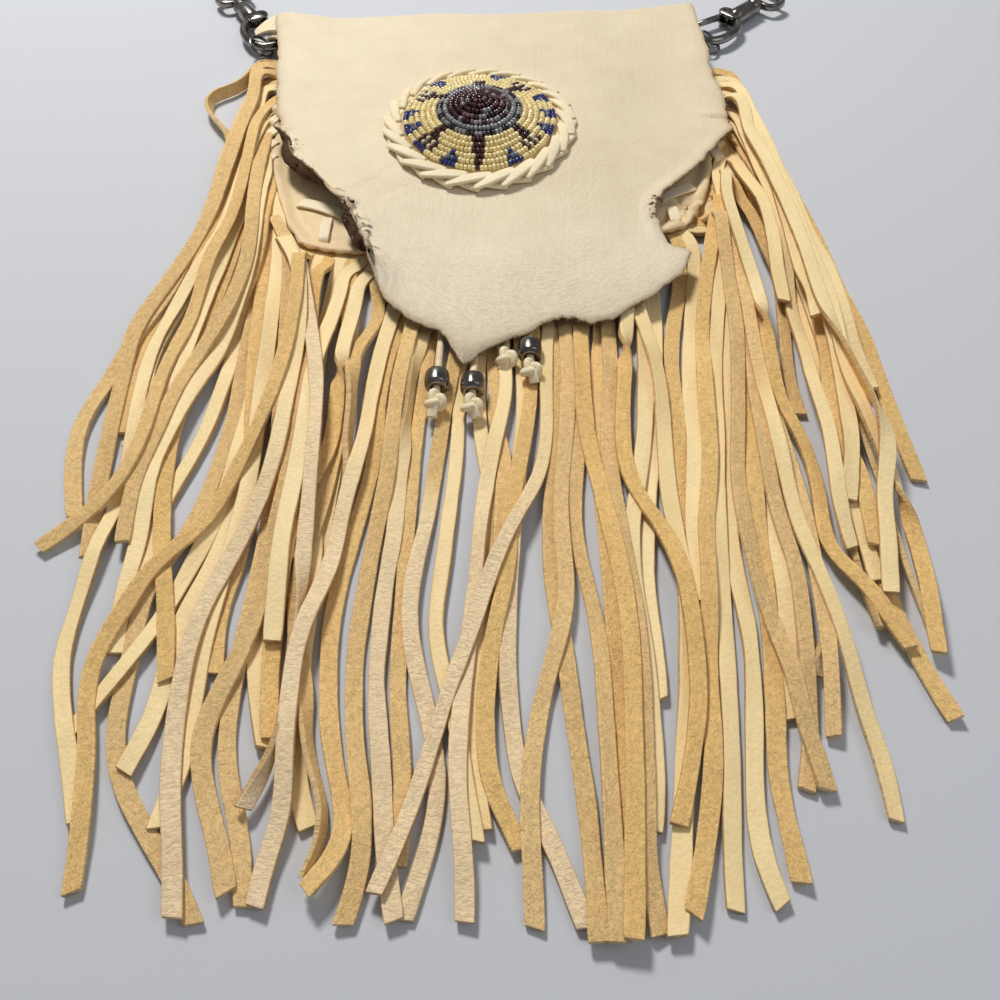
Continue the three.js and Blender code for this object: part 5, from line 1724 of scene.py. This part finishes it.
def tone_of(strip):
    """Outer and inner colours, nap and creases along a strip."""
    rng = np.random.default_rng(seed_of(strip.name) + 5)
    share = (strip.along / strip.along[-1])[:, None]
    golden = rng.uniform(-1, 1)
    grain = np.array(STRIP_GRAIN) * (1 + 0.07 * golden * np.array([0.2, 0.5, 1.0]))
    suede = np.array(STRIP_SUEDE) * (1 + rng.uniform(-0.09, 0.05))
    suede = suede * (1 + golden * np.array([0.0, -0.03, -0.14]))
    pale = np.array(STRIP_PALE) * (1 + rng.uniform(-0.04, 0.05))
    crease = np.full(strip.count, rng.uniform(0.12, 0.4))
    grains = np.broadcast_to(grain, (strip.count, 3)).copy()
    if strip.look == "P":
        grains = np.broadcast_to(pale, (strip.count, 3)).copy()
        crease[:] = 0.8
    if strip.look in ("GP", "SP"):
        mix = smooth(share, 0.30, 0.62)
        grains = grains + (pale - grains) * mix
        crease = crease + 0.65 * mix[:, 0]
    return grains, np.broadcast_to(suede, (strip.count, 3)), crease


def with_ends(values):
    """Values along a strip, with a repeat at each end for a crisp cut."""
    return np.concatenate([values[:1], values, values[-1:]])


def add_strip(soup, strip):
    path = np.column_stack([strip.plan, strip.height])
    way, across, above = frames_along(path)
    turn_cos, turn_sin = np.cos(strip.roll)[:, None], np.sin(strip.roll)[:, None]
    across, above = across * turn_cos + above * turn_sin, above * turn_cos - across * turn_sin
    rng = np.random.default_rng(seed_of(strip.name) + 9)
    width = strip.width * (1 + wander(rng, strip.count, 8, 0.04) + wander(rng, strip.count, 2, 0.015))
    thickness = strip.thickness * (1 + wander(rng, strip.count, 9, 0.05))
    ending = strip.along[-1] - strip.along
    width = width * (0.93 + 0.07 * smooth(ending, 0, 3))
    section = with_ends(band_section(width, thickness, 0.42, wander(rng, strip.count, 12, 0.2)))
    path, way, across, above = (with_ends(values) for values in (path, way, across, above))
    path[0] -= way[0] * 0.12
    path[-1] += way[-1] * 0.12
    shape, faces = tube(path, across, above, section)
    count = strip.count + 2
    shape = shape.reshape(count, SECTION, 3)
    slant = rng.uniform(-0.35, 0.35) * ACROSS * strip.width
    shape[-2:] += way[-1] * slant[:, None]
    grain, suede, crease = (with_ends(values) for values in tone_of(strip))
    top = TOP_SIDE[None, :, None]
    suede_up = strip.look[0] == "S"
    upper, lower = (suede, grain) if suede_up else (grain, suede)
    tone = upper[:, None, :] * top + lower[:, None, :] * (1 - top)
    nap = np.repeat(TOP_SIDE[None, :] if suede_up else 1 - TOP_SIDE[None, :], count, axis=0)
    share = with_ends(strip.along / strip.along[-1])[:, None]
    if strip.look in ("SG", "SP"):
        turned = smooth(share, 0.42, 0.52)
        other = grain[:, None, :] * top + suede[:, None, :] * (1 - top)
        tone = tone * (1 - turned[:, :, None]) + other * turned[:, :, None]
        nap = nap * (1 - turned) + (1 - TOP_SIDE[None, :]) * turned
    # Side walls take the raw edge tone with painted light when suede is up and painted shade when grain is
    # up
    edge = EDGE[None, :, None]
    edge_tone = np.array(STRIP_EDGE_WITH_PAINTED_LIGHT if suede_up else STRIP_EDGE_WITH_PAINTED_SHADE)
    tone = tone * (1 - 0.8 * edge) + edge_tone * 0.8 * edge
    tone[-1] = tone[-1] * 0.4 + np.array(RAW_EDGE) * 0.6
    nap = np.maximum(nap, EDGE[None, :])
    uv = np.zeros((count, SECTION, 2))
    uv[:, :, 0] = ACROSS[None, :] * strip.width + seed_of(strip.name) % 500
    uv[:, :, 1] = with_ends(strip.along)[:, None] + seed_of(strip.name) % 300
    creases = np.repeat(crease[:, None], SECTION, axis=1) * (1 - nap)
    soup.add(shape.reshape(-1, 3), faces, uv.reshape(-1, 2),
             values={"nap": nap.ravel(), "crease": creases.ravel()}, colours={"tone": tone.reshape(-1, 3)})
    add_whiskers(soup, strip, rng, path, across, way)


def add_whiskers(soup, strip, rng, path, across, way):
    """Loose fibres at a strip's edges, most of them near its tip."""
    for _ in range(WHISKERS):
        k = int(len(path) * (1 - rng.uniform(0, 1) ** 1.8 * 0.9)) - 2
        k = max(8, k)
        side = rng.choice([-1.0, 1.0])
        root = path[k] + across[k] * side * strip.width * 0.47 + np.array([0, 0, rng.uniform(-0.4, 0.5)])
        tip = root + across[k] * side * rng.uniform(0.3, 1.3) + way[k] * rng.uniform(-1.0, 1.4)
        tip[2] = max(0.1, tip[2] + rng.uniform(-0.5, 0.6))
        thick = way[k] * 0.06
        base = [root - thick, root + thick, root + np.array([0, 0, 0.1])]
        add_fibre(soup, base, tip, np.tile([k, 3.0], (4, 1)), RAW_EDGE)


def add_header(soup, start, end):
    """The band of each fringe piece that lies in the seam."""
    places = np.arange(start, end, 2.0)
    outer = np.array([seam_place(d) + seam_inward(d) * 0.4 for d in places])
    inner = np.array([seam_place(d) + seam_inward(d) * HEADER_WIDTH for d in places])
    grid = np.stack([outer, inner], axis=1)
    grid = np.dstack([grid, np.full(grid.shape[:2], HEADER_BOTTOM + HIDE / 2)])
    shade = np.broadcast_to(STRIP_SUEDE, grid.shape)
    sheet_mesh(soup, grid, HIDE * 0.9, shade, shade, 1.0, grid[:, :, :2], 0.0)


def spread_roots(strips, start, end):
    """Each strip's root at the seam place nearest its first stretch, with room for every strip."""
    strips.sort(key=lambda strip: strip.guess)
    room = min(STRIP_WIDTH, (end - start) / (len(strips) + 0.5))
    places = [min(max(strip.guess, start + room / 2), end - room / 2) for strip in strips]
    for _ in range(200):
        for k in range(len(places) - 1):
            short = room - (places[k + 1] - places[k])
            if short > 0:
                places[k] -= short / 2
                places[k + 1] += short / 2
        places[0] = max(places[0], start + room / 2)
        places[-1] = min(places[-1], end - room / 2)
    for strip, place in zip(strips, places):
        strip.root = place


def fillers(strips, side):
    """Strips that lie hidden below the others, where the seam shows room for one."""
    made = []
    for above, beside in zip(strips, strips[1:]):
        gap = beside.root - above.root
        room = int(gap / STRIP_WIDTH)
        for n in range(1, room):
            share = n / room
            name = f"{above.name}_under_{n}"
            rng = np.random.default_rng(seed_of(name))
            route = spline(above.pixels, 24) * (1 - share) + spline(beside.pixels, 24) * share
            route = route[:int(24 * rng.uniform(0.5, 0.82))]
            filler = Strip(name, side, "S" if rng.random() < 0.6 else "G", -1, route)
            filler.root = above.root + gap * share
            made.append(filler)
    return made


def add_fringe():
    made = []
    for side, (table, start, end) in FRINGES.items():
        strips = [Strip(name, side, *spec) for name, spec in table.items()]
        for strip in strips:
            strip.guess = strip.root_guess()
        spread_roots(strips, start, end)
        made += strips + fillers(strips, side)
    order = {name: k for k, name in enumerate(name for table, _, _ in FRINGES.values() for name in table)}
    made.sort(key=lambda strip: (strip.layer, order.get(strip.name, -1)))
    for strip in made:
        strip.settle()
    for _ in range(LAYING_ROUNDS):
        lay(made)
        for strip in made:
            share = strip.along / strip.along[-1]
            strip.settle(np.interp(np.linspace(0.05, 1, ROUTE_POINTS), share, strip.height))
    lay(made)
    for side, (table, start, end) in FRINGES.items():
        soup = Soup()
        add_header(soup, start, end)
        area = (end - start) * HEADER_WIDTH * MM * MM
        longest = 0.0
        for strip in made:
            if strip.side == side:
                add_strip(soup, strip)
                area += strip.width * strip.along[-1] * MM * MM
                longest = max(longest, strip.along[-1])
        piece = placed(soup.piece(f"hide_fringe_{side}", HIDE_LOOK), f"fringe_{side}")


add_fringe()


# Rosette

# Heights over the flap at shares of the beadwork's radius: a steep middle on a gently sloping rim
DOME_SHARES = [0.0, 0.08, 0.2, 0.36, 0.54, 0.75, 0.9, 1.0]
DOME_HEIGHTS = [10.0, 9.8, 8.8, 6.9, 5.0, 3.3, 2.1, 1.1]
# A seed bead: radius of its ring, half its wall, half its length, and its middle's height over the dome
BEAD_RING = 0.66
BEAD_WALL = 0.50
BEAD_HALF = 0.74
BEAD_LIFT = 1.15
DISC_RINGS = 14
DISC_SIDES = 40
# Radius inside which the pad under the beads is dark
DARK_RADIUS = 17.0
PAD_TONE = linear(226, 203, 152)
PAD_DARK = linear(58, 40, 42)
BRAID_CROSSINGS = 23
LEAF_STEPS = 18

BUTTER = linear(255, 236, 176)
MAROON = linear(62, 22, 30)
GREY = linear(150, 150, 152)
INK = linear(38, 34, 40)
BLUE = linear(44, 52, 120)
STEEL_BLUE = linear(112, 120, 152)
CREAM = linear(246, 232, 196)
ROSE = linear(120, 92, 98)
# Directions of the bead picture's parts from the middle, in degrees from the right, anticlockwise
TAIL_ANGLE = -90
HEAD_ANGLE = 90
LEG_ANGLES = (-38, -139, 48, 150)
TOES = (-3.4, 0.0, 3.4)
MARK_ANGLES = (-61, -113, 178, 197, 217, 3, 25, -17, 128, 75)
# How far a blue mark reaches to each side of its direction, by row
MARK_REACH = {11: 0.9, 12: 2.2, 13: 3.0}


def dome(radius):
    """Height of the beadwork's base over the flap at a distance from its middle."""
    return np.interp(np.clip(radius / DOME_RADIUS, 0, 1), DOME_SHARES, DOME_HEIGHTS)


def at_rosette(radius, angle):
    return ROSETTE[0] + radius * math.cos(angle), ROSETTE[1] + radius * math.sin(angle)


def leg_colour(row, gap):
    """Colour of a bead at a distance beside a leg's middle: a leg, three toes, or cream between them."""
    if row <= 9 and abs(gap) < 1.6 + 0.3 * (9 - row):
        return MAROON
    if row == 10 and abs(gap) < 2.6:
        return MAROON
    if row in (11, 12):
        if any(abs(gap - toe) < 0.85 for toe in TOES):
            return MAROON
        if abs(gap) < 3.6:
            return CREAM
    return None


def bead_colour(row, angle, rng):
    """Colour of a seed bead by its row from the middle and its angle from the right, anticlockwise."""
    def beside(middle):
        return math.remainder(angle - math.radians(middle), 2 * math.pi) * row * BEAD_ROW

    if row <= 5:
        if row == 0 or rng.random() > (0.10 if row < 3 else 0.3):
            return MAROON
        return GREY if rng.random() < 0.5 else ROSE
    if row == 6:
        return GREY
    if row == 7:
        return INK if (angle / (2 * math.pi) * 26) % 2 < 1 else GREY
    if abs(beside(TAIL_ANGLE)) < max(2.9 - 0.45 * (row - 8), 0.85):
        return MAROON
    if row <= 9 and abs(beside(HEAD_ANGLE)) < 2.8:
        return MAROON
    for middle in LEG_ANGLES:
        leg = leg_colour(row, beside(middle))
        if leg:
            return leg
    for middle in MARK_ANGLES:
        gap = abs(beside(middle))
        if gap < MARK_REACH.get(row, 0.0):
            return STEEL_BLUE if row == 12 and gap < 1.4 else BLUE
    return BUTTER


def add_seed_beads(rng):
    """Rings of seed beads over the dome. The hole of each bead runs along its row."""
    turns = [2 * math.pi * k / 10 for k in range(10)]
    profile = [(BEAD_RING + BEAD_WALL * math.cos(a), BEAD_HALF * math.sin(a)) for a in turns]
    bead, bead_faces = lathe(profile + profile[:1], 12)
    soup = Soup()
    for row in range(int(DOME_RADIUS / BEAD_ROW) + 1):
        radius = row * BEAD_ROW
        count = max(1, round(2 * math.pi * radius / BEAD_PITCH))
        shift = rng.uniform(0, 2 * math.pi)
        for k in range(count):
            angle = shift + 2 * math.pi * (k + rng.uniform(-0.08, 0.08)) / count
            r = radius + rng.uniform(-0.12, 0.12)
            x, y = at_rosette(r, angle)
            z = flap_top(x, y) + dome(r) + BEAD_LIFT + rng.uniform(-0.08, 0.08)
            slope_in = (float(dome(max(r - 1, 0))) - float(dome(r + 1))) / 2
            out = np.array([math.cos(angle), math.sin(angle), -slope_in])
            out /= np.linalg.norm(out)
            along = np.array([-math.sin(angle), math.cos(angle), 0.0]) + rng.normal(0, 0.05, 3)
            along /= np.linalg.norm(along)
            up = np.cross(out, along)
            size = rng.uniform(0.93, 1.07)
            stretched = bead[:, 1:2] * along * rng.uniform(0.9, 1.12)
            turned = (bead[:, :1] * out + stretched + bead[:, 2:] * up) * size
            tone = np.array(bead_colour(row, math.remainder(angle, 2 * math.pi), rng))
            tone = tone * rng.uniform(0.88, 1.1)
            soup.add(turned + np.array([x, y, z]), bead_faces, colours={"tone": tone})
    placed(soup.piece("rosette_seed_beads", BEAD_LOOK), "rosette_beadwork")


def rosette_disc(name, radius, low, high, look, dark_to=0.0):
    """A disc that follows the flap. low and high give its heights over it at a distance from the middle."""
    sides = DISC_SIDES
    points, faces = [], []
    for level in (high, low):
        for r in np.linspace(0, radius, DISC_RINGS):
            for k in range(sides):
                x, y = at_rosette(r, 2 * math.pi * k / sides)
                points.append((x, y, float(flap_top(x, y)) + float(level(r))))
    for i in range(DISC_RINGS - 1):
        for k in range(sides):
            m = (k + 1) % sides
            a, b = i * sides, (i + 1) * sides
            faces.append((a + k, b + k, b + m, a + m))
            c, d = (DISC_RINGS + i) * sides, (DISC_RINGS + i + 1) * sides
            faces.append((c + m, d + m, d + k, c + k))
    last, low_last = (DISC_RINGS - 1) * sides, (2 * DISC_RINGS - 1) * sides
    for k in range(sides):
        m = (k + 1) % sides
        faces.append((last + k, low_last + k, low_last + m, last + m))
    points = np.array(points)
    away = np.hypot(points[:, 0] - ROSETTE[0], points[:, 1] - ROSETTE[1])
    dark = smooth(away, dark_to + 1, dark_to)[:, None] if dark_to else np.zeros((len(points), 1))
    tone = np.array(PAD_TONE) * (1 - dark) + np.array(PAD_DARK) * dark
    soup = Soup()
    soup.add(points, faces, points[:, :2], values={"nap": 0.6, "crease": 0.0}, colours={"tone": tone})
    piece = soup.piece(name, look)
    merged(piece)
    return piece


def merged(piece):
    """Join points that coincide, such as the middle of a disc."""
    made = bmesh.new()
    made.from_mesh(piece.data)
    bmesh.ops.remove_doubles(made, verts=made.verts, dist=1e-6)
    bmesh.ops.dissolve_degenerate(made, edges=made.edges, dist=1e-7)
    made.to_mesh(piece.data)
    made.free()


def add_plaited_rim(rng):
    """Slanting laces that overlap like shingles, fuller in front."""
    soup = Soup()
    middle = DOME_RADIUS + 0.8 + BRAID_WIDTH / 2
    leaf = 0.6 + 0.4 * np.sin(np.pi * np.linspace(0.05, 0.95, LEAF_STEPS)) ** 0.6
    for k in range(BRAID_CROSSINGS):
        for under in (True, False):
            place = k + (0.5 if under else 0.0) + rng.uniform(-0.06, 0.06)
            start = 2 * math.pi * place / BRAID_CROSSINGS
            fuller = (0.5 - 0.5 * math.sin(start + 0.2)) ** 0.8
            span = (12.5 + 5.0 * fuller) / middle
            reach = (BRAID_WIDTH - 1.4) * (0.72 + 0.42 * fuller)
            low, rise = (0.8, 0.9) if under else (1.3, 2.0)
            points = []
            for share in np.linspace(0, 1, 8):
                side = share - 0.5 if under else 0.5 - share
                hump = math.sin(math.pi * (0.06 + 0.88 * share)) ** 0.8
                x, y = at_rosette(middle + side * reach + 0.5 * fuller, start + span * share)
                level = low + rise * hump * (0.35 + 0.65 * fuller)
                points.append((x, y, float(flap_top(x, y)) + level))
            width = (2.5 + 2.5 * fuller) * rng.uniform(0.92, 1.08)
            path = spline(points, LEAF_STEPS)
            _, across, above = frames_along(path)
            section = band_section(width * leaf, 1.35 * (0.6 + 0.4 * leaf), 0.8, -0.3)
            shape, faces = tube(path, across, above, section)
            uv = np.stack([np.tile(ACROSS * width, LEAF_STEPS), np.repeat(distances(path), SECTION)], axis=1)
            soup.add(shape, faces, uv + 11.0 * k, values={"nap": 0.15, "crease": 0.25},
                     colours={"tone": np.array(LACE_TONE) * rng.uniform(0.93, 1.03)})
    placed(soup.piece("rosette_plaited_rim", HIDE_LOOK), "rosette_braid")


def make_rosette():
    rng = np.random.default_rng(5)
    add_seed_beads(rng)
    pad = rosette_disc("rosette_pad", DOME_RADIUS + 0.6, lambda r: 1.2, lambda r: dome(r) + 0.45,
                       THREAD_LOOK, DARK_RADIUS)
    placed(pad)
    back = rosette_disc("rosette_leather_back", DOME_RADIUS + 5.5, lambda r: 0.2, lambda r: 1.1, HIDE_LOOK)
    placed(back, "rosette_backing")
    add_plaited_rim(rng)


make_rosette()


# Snap hooks

# How each hook lies: x and y of its middle, turn in degrees, where on the bend the loop grips it in
# degrees, and whether it lies on its other side
HOOK_LAYS = {
    "left": (-106.0, 76.0, 30.0, 31.0, False),
    "right": (101.5, 81.0, -46.0, 30.0, True),
}
HOOK_HEIGHT = 4.2
HOOK_REACH = 8.5
HOOK_ROD = 3.8
BARREL_START = 17.5
BARREL_END = 34.5
BARREL_RADIUS = 4.0
GATE_PIVOT = (4.6, 16.2)
GATE_TIP = (7.9, 2.4)
ROD_ROUTE = [(-1.2, 18.2), (-6.9, 12.4), (-8.6, 4.5), (-8.0, -2), (-4.9, -6.95), (0, -8.5), (4.4, -7.3),
             (7.6, -3.8), (8.3, 0.6)]
ROD_STEPS = 60
# The two cheeks that hold the gate: outline, thickness and height of each one's underside
CHEEK = [(-2.6, 13.6), (1.2, 13.3), (4.6, 13.4), (6.6, 14.6), (7.1, 16.4), (6.6, 18.3), (4.8, 19.6),
         (1.2, 19.9), (-2.4, 19.4)]
CHEEK_THICKNESS = 1.55
CHEEK_BOTTOMS = (-3.0, 1.45)
GATE_THICKNESS = 2.2
PIN_RADIUS = 0.8
PIN_HALF = 3.0
# Swivel eye: half its width, its wall, height and thickness, and its slot's half width and height
EYE_HALF = 9.1
EYE_WALL = 2.6
EYE_TALL = 12.2
EYE_THICKNESS = 3.2
SLOT_HALF = 6.5
SLOT_TALL = 7.0
# Loose ring on the hook's bend: radius, wire radius, tilt and place on the bend
RING_RADIUS = 5.5
RING_WIRE = 0.75
RING_TILT = math.radians(38)
RING_SEAT = math.radians(42)
RING_STEPS = 48
RING_SIDES = 14
# Corner loops
LOOP_THICKNESS = 1.25
LOOP_STEPS = 60
LOOP_WIDTHS = {"left": 7.0, "right": 4.6}
LOOP_SLACK = {"left": 1.75, "right": 1.1}
LOOP_TAIL = [(-93.0, 79.5, 8.4), (-99.0, 79.0, 9.0), (-104.0, 77.8, 8.6), (-108.0, 76.4, 7.4),
             (-111.0, 75.4, 5.8)]
TAIL_POINTS = 30


def hook_place(side, points):
    """Points of a hook's own frame, in the bag's."""
    x, y, angle, _, flip = HOOK_LAYS[side]
    points = np.asarray(points, float).copy()
    if flip:
        points = points * np.array([-1, 1, -1])
    a = math.radians(angle)
    turned = np.column_stack([points[:, 0] * math.cos(a) - points[:, 1] * math.sin(a),
                              points[:, 0] * math.sin(a) + points[:, 1] * math.cos(a), points[:, 2]])
    return turned + np.array([x, y, HOOK_HEIGHT])


def hook_piece(name, side, forms, body, replaced):
    """forms is a list of points and faces in the hook's frame. A flipped hook is turned, not mirrored."""
    soup = Soup()
    for points, faces in forms:
        soup.add(hook_place(side, points), faces, np.asarray(points)[:, :2])
    placed(soup.piece(name, METAL_LOOK), replaced, body)


def inset(line, amount):
    """A closed line moved to its left by an amount."""
    way = np.roll(line, -1, axis=0) - np.roll(line, 1, axis=0)
    normal = np.stack([-way[:, 1], way[:, 0]], axis=1)
    normal /= np.linalg.norm(normal, axis=1)[:, None]
    return line + normal * amount


def plate_form(outline, thickness, bevel, hole=None):
    """A flat plate with softened edges round an outline, and a hole if one is given."""
    outline = np.asarray(outline, float)
    half = thickness / 2
    levels = [(-half, bevel), (-half + bevel, 0), (half - bevel, 0), (half, bevel)]

    def wall(line, sign):
        return [np.column_stack([inset(line, sign * amount), np.full(len(line), z)]) for z, amount in levels]

    n = len(outline)
    points = list(np.vstack(wall(outline, 1)))
    after = [(k, (k + 1) % n) for k in range(n)]
    faces = [(i * n + k, i * n + m, (i + 1) * n + m, (i + 1) * n + k) for i in range(3) for k, m in after]
    if hole is None:
        faces += [tuple(reversed(range(n))), tuple(range(3 * n, 4 * n))]
        return np.array(points), faces
    hole = resample(np.vstack([hole, hole[:1]]), n + 1)[:-1]
    shifted = [np.roll(hole, -k, axis=0) for k in range(n)]
    hole = min(shifted, key=lambda line: np.linalg.norm(line - outline, axis=1).sum())
    points += list(np.vstack(wall(hole, -1)))
    base = 4 * n
    for i in range(3):
        low, high = base + i * n, base + (i + 1) * n
        faces += [(low + m, low + k, high + k, high + m) for k, m in after]
    for k, m in after:
        faces.append((k, base + k, base + m, m))
        faces.append((3 * n + m, base + 3 * n + m, base + 3 * n + k, 3 * n + k))
    return np.array(points), faces


def hook_body_forms():
    """The hook's rod, its barrel and the two cheeks that hold the gate's pin."""
    path = spline([(x, y, 0) for x, y in ROD_ROUTE], ROD_STEPS)
    _, across, above = frames_along(path)
    share = np.linspace(0, 1, ROD_STEPS)
    rod_radius = HOOK_ROD / 2 * (1 + 0.10 * np.sin(math.pi * share) - 0.12 * smooth(share, 0.85, 1.0))
    rod = tube(path, across, above, round_section(ROD_STEPS, rod_radius, 20))
    radius, start, end = BARREL_RADIUS, BARREL_START, BARREL_END
    profile = [(0, start - 1.6), (1.6, start - 1.5), (2.6, start - 0.7), (3.4, start + 0.4),
               (radius, start + 1.9), (radius, end - 4.6), (radius - 0.1, end - 4.3),
               (radius - 0.5, end - 3.9), (radius - 0.5, end - 3.1), (radius - 0.1, end - 2.8),
               (radius, end - 2.5), (radius, end - 0.8), (radius - 0.15, end - 0.4),
               (radius - 0.5, end - 0.1), (radius - 0.9, end), (2.3, end), (2.05, end - 0.2),
               (2.05, end - 3.5), (2.85, end - 3.5), (2.85, end - 7.5), (0, end - 7.5)]
    forms = [rod, lathe(profile, 40)]
    cheek, faces = plate_form(spline(CHEEK + CHEEK[:1], 41)[:-1], CHEEK_THICKNESS, 0.3)
    for bottom in CHEEK_BOTTOMS:
        forms.append((cheek + np.array([0, 0, bottom + CHEEK_THICKNESS / 2]), faces))
    return forms


def gate_form():
    pivot, tip = np.array(GATE_PIVOT), np.array(GATE_TIP)
    way = (tip - pivot) / np.linalg.norm(tip - pivot)
    side = np.array([-way[1], way[0]])
    outline = []
    for centre, radius, first in ((pivot, 1.7, math.pi / 2), (tip, 1.3, -math.pi / 2)):
        for k in range(14):
            a = first + math.pi * k / 13
            outline.append(centre + radius * (way * math.cos(a) + side * math.sin(a)))
    return plate_form(outline, GATE_THICKNESS, 0.5)


def pin_form():
    end, rim = PIN_HALF, PIN_RADIUS - 0.18
    profile = [(0, -end), (rim, -end), (PIN_RADIUS, 0.2 - end), (PIN_RADIUS, end - 0.2), (rim, end),
               (0, end)]
    points, faces = lathe(profile, 24)
    return points[:, [0, 2, 1]] * np.array([1, -1, 1]) + np.array([*GATE_PIVOT, 0]), faces


def bent(start, corner, end, shares):
    """Points of a curve from start to end that bends toward a corner."""
    return [tuple((1 - t) ** 2 * a + 2 * (1 - t) * t * b + t * t * c for a, b, c in zip(start, corner, end))
            for t in shares]


def mirrored(points):
    """A closed outline from the points of its right half."""
    return np.array(points + [(-x, y) for x, y in reversed(points)])


def eye_forms():
    """The swivel eye: a stem that turns inside the barrel, and a plate with a slot for the strap."""
    head = BARREL_END - 3.85
    collar = BARREL_END + 0.35
    start = collar + 1.4
    stem = lathe([(0, head - 3), (2.3, head - 3), (2.5, head - 2.8), (2.5, head - 0.2), (2.3, head),
                  (1.7, head), (1.7, collar), (3.0, collar), (3.2, collar + 0.2), (3.1, collar + 0.9),
                  (2.8, start + 1), (0, start + 1.4)], 32)
    shoulder, top = start + 0.55 * EYE_TALL, start + EYE_TALL
    outline = bent((3.2, start), (EYE_HALF, start + 1), (EYE_HALF, shoulder), [k / 12 for k in range(13)])
    outline += bent((EYE_HALF, shoulder), (EYE_HALF, top), (EYE_HALF - EYE_WALL, top),
                    [k / 8 for k in range(1, 9)])
    line = mirrored(outline)
    line = resample(np.vstack([line, line[:1]]), 65)[:-1]
    low, high = start + EYE_WALL, start + EYE_WALL + SLOT_TALL
    slot = bent((3.6, low), (SLOT_HALF, low), (SLOT_HALF, (low + high) / 2), [k / 8 for k in range(9)])
    return [stem, plate_form(line, EYE_THICKNESS, 0.5, mirrored(slot + [(SLOT_HALF, high)]))]


def turned(a, b, angle):
    return a * math.cos(angle) + b * math.sin(angle), -a * math.sin(angle) + b * math.cos(angle)


def ring_form():
    points, faces = [], []
    for i in range(RING_STEPS):
        u = 2 * math.pi * i / RING_STEPS
        for j in range(RING_SIDES):
            v = 2 * math.pi * j / RING_SIDES
            reach = RING_RADIUS + RING_WIRE * math.cos(v)
            x, z = turned(reach * math.cos(u), RING_WIRE * math.sin(v), RING_TILT)
            x, y = turned(x, reach * math.sin(u), RING_SEAT)
            points.append((x - HOOK_REACH * math.sin(RING_SEAT), y - HOOK_REACH * math.cos(RING_SEAT), z))
            n, m = (i + 1) % RING_STEPS, (j + 1) % RING_SIDES
            faces.append((i * RING_SIDES + j, n * RING_SIDES + j, n * RING_SIDES + m, i * RING_SIDES + m))
    return np.array(points), faces


def add_hooks():
    for side in HOOK_LAYS:
        hook_piece(f"snap_hook_{side}", side, hook_body_forms(), BODY, f"hook_body_{side}")
        hook_piece(f"snap_gate_{side}", side, [gate_form()], f"gate_{side}", f"hook_gate_{side}")
        hook_piece(f"snap_gate_pin_{side}", side, [pin_form()], BODY, f"gate_pin_{side}")
        hook_piece(f"snap_eye_{side}", side, eye_forms(), f"eye_{side}", f"swivel_eye_{side}")
        hook_piece(f"split_ring_{side}", side, [ring_form()], BODY, f"hook_ring_{side}")
        add_corner_loop(side)


def add_loop_tail(soup):
    """Folded end of the left loop that shows as a cream triangle inside the hook."""
    path = spline(LOOP_TAIL, TAIL_POINTS)
    _, across, above = frames_along(path, up=(-0.3, 0.0, 1.0))
    width = np.interp(np.linspace(0, 1, TAIL_POINTS), [0, 0.35, 0.75, 1], [20, 18, 9, 5])
    shape, faces = tube(path, across, above, band_section(width, LOOP_THICKNESS, 0.6, 0.5))
    uv = np.stack([np.tile(ACROSS * 12, TAIL_POINTS), np.repeat(distances(path), SECTION)], axis=1)
    soup.add(shape, faces, uv, values={"nap": np.tile(EDGE * 0.6, TAIL_POINTS), "crease": 0.4},
             colours={"tone": LACE_TONE})


def loop_route(side):
    """Reach and height of points round the hook's rod, in the upright plane that the loop lies in."""
    radius = HOOK_ROD / 2 + 0.9 + 0.65
    low = HEADER_BOTTOM + 0.65
    route = [(17.0, low), (10.0, low), (5.5, low - 0.1), (2.6, HOOK_HEIGHT - radius + 0.35)]
    for k in range(9):
        b = -math.pi / 2 - math.pi * k / 8
        route.append((radius * math.cos(b) * LOOP_SLACK[side], HOOK_HEIGHT + radius * math.sin(b)))
    return route + [(2.8, HOOK_HEIGHT + radius - 0.2), (5.8, HOOK_HEIGHT + 1.1), (8.4, low + 1.5),
                    (12.5, low + 1.35)]


def add_corner_loop(side):
    """Leather loop round the hook's rod. Its two ends run into the corner of the pouch."""
    x, y, angle, grip, flip = HOOK_LAYS[side]
    turn = math.radians(grip) * (-1 if flip else 1)
    a = math.radians(angle)
    way_angle = a + turn - math.pi / 2
    way = np.array([math.cos(way_angle), math.sin(way_angle)])
    centre = np.array([x, y]) + HOOK_REACH * way
    line = spline([(*(centre + way * reach), height) for reach, height in loop_route(side)], LOOP_STEPS)
    side_way = np.broadcast_to([-way[1], way[0], 0.0], line.shape)
    along = np.gradient(line, axis=0)
    along /= np.linalg.norm(along, axis=1)[:, None]
    above = np.cross(side_way, along)
    above /= np.linalg.norm(above, axis=1)[:, None]
    reach = (line[:, :2] - centre) @ way
    width = LOOP_WIDTHS[side] + 0.28 * np.maximum(reach, 0)
    shape, faces = tube(line, side_way, above, band_section(width, LOOP_THICKNESS, 0.6))
    soup = Soup()
    uv = np.stack([np.tile(ACROSS * 5, LOOP_STEPS), np.repeat(distances(line), SECTION)], axis=1)
    soup.add(shape, faces, uv, values={"nap": np.tile(EDGE * 0.6, LOOP_STEPS), "crease": 0.3},
             colours={"tone": LACE_TONE})
    if side == "left":
        add_loop_tail(soup)
    placed(soup.piece(f"leather_loop_{side}", HIDE_LOOK), f"corner_loop_{side}")


add_hooks()
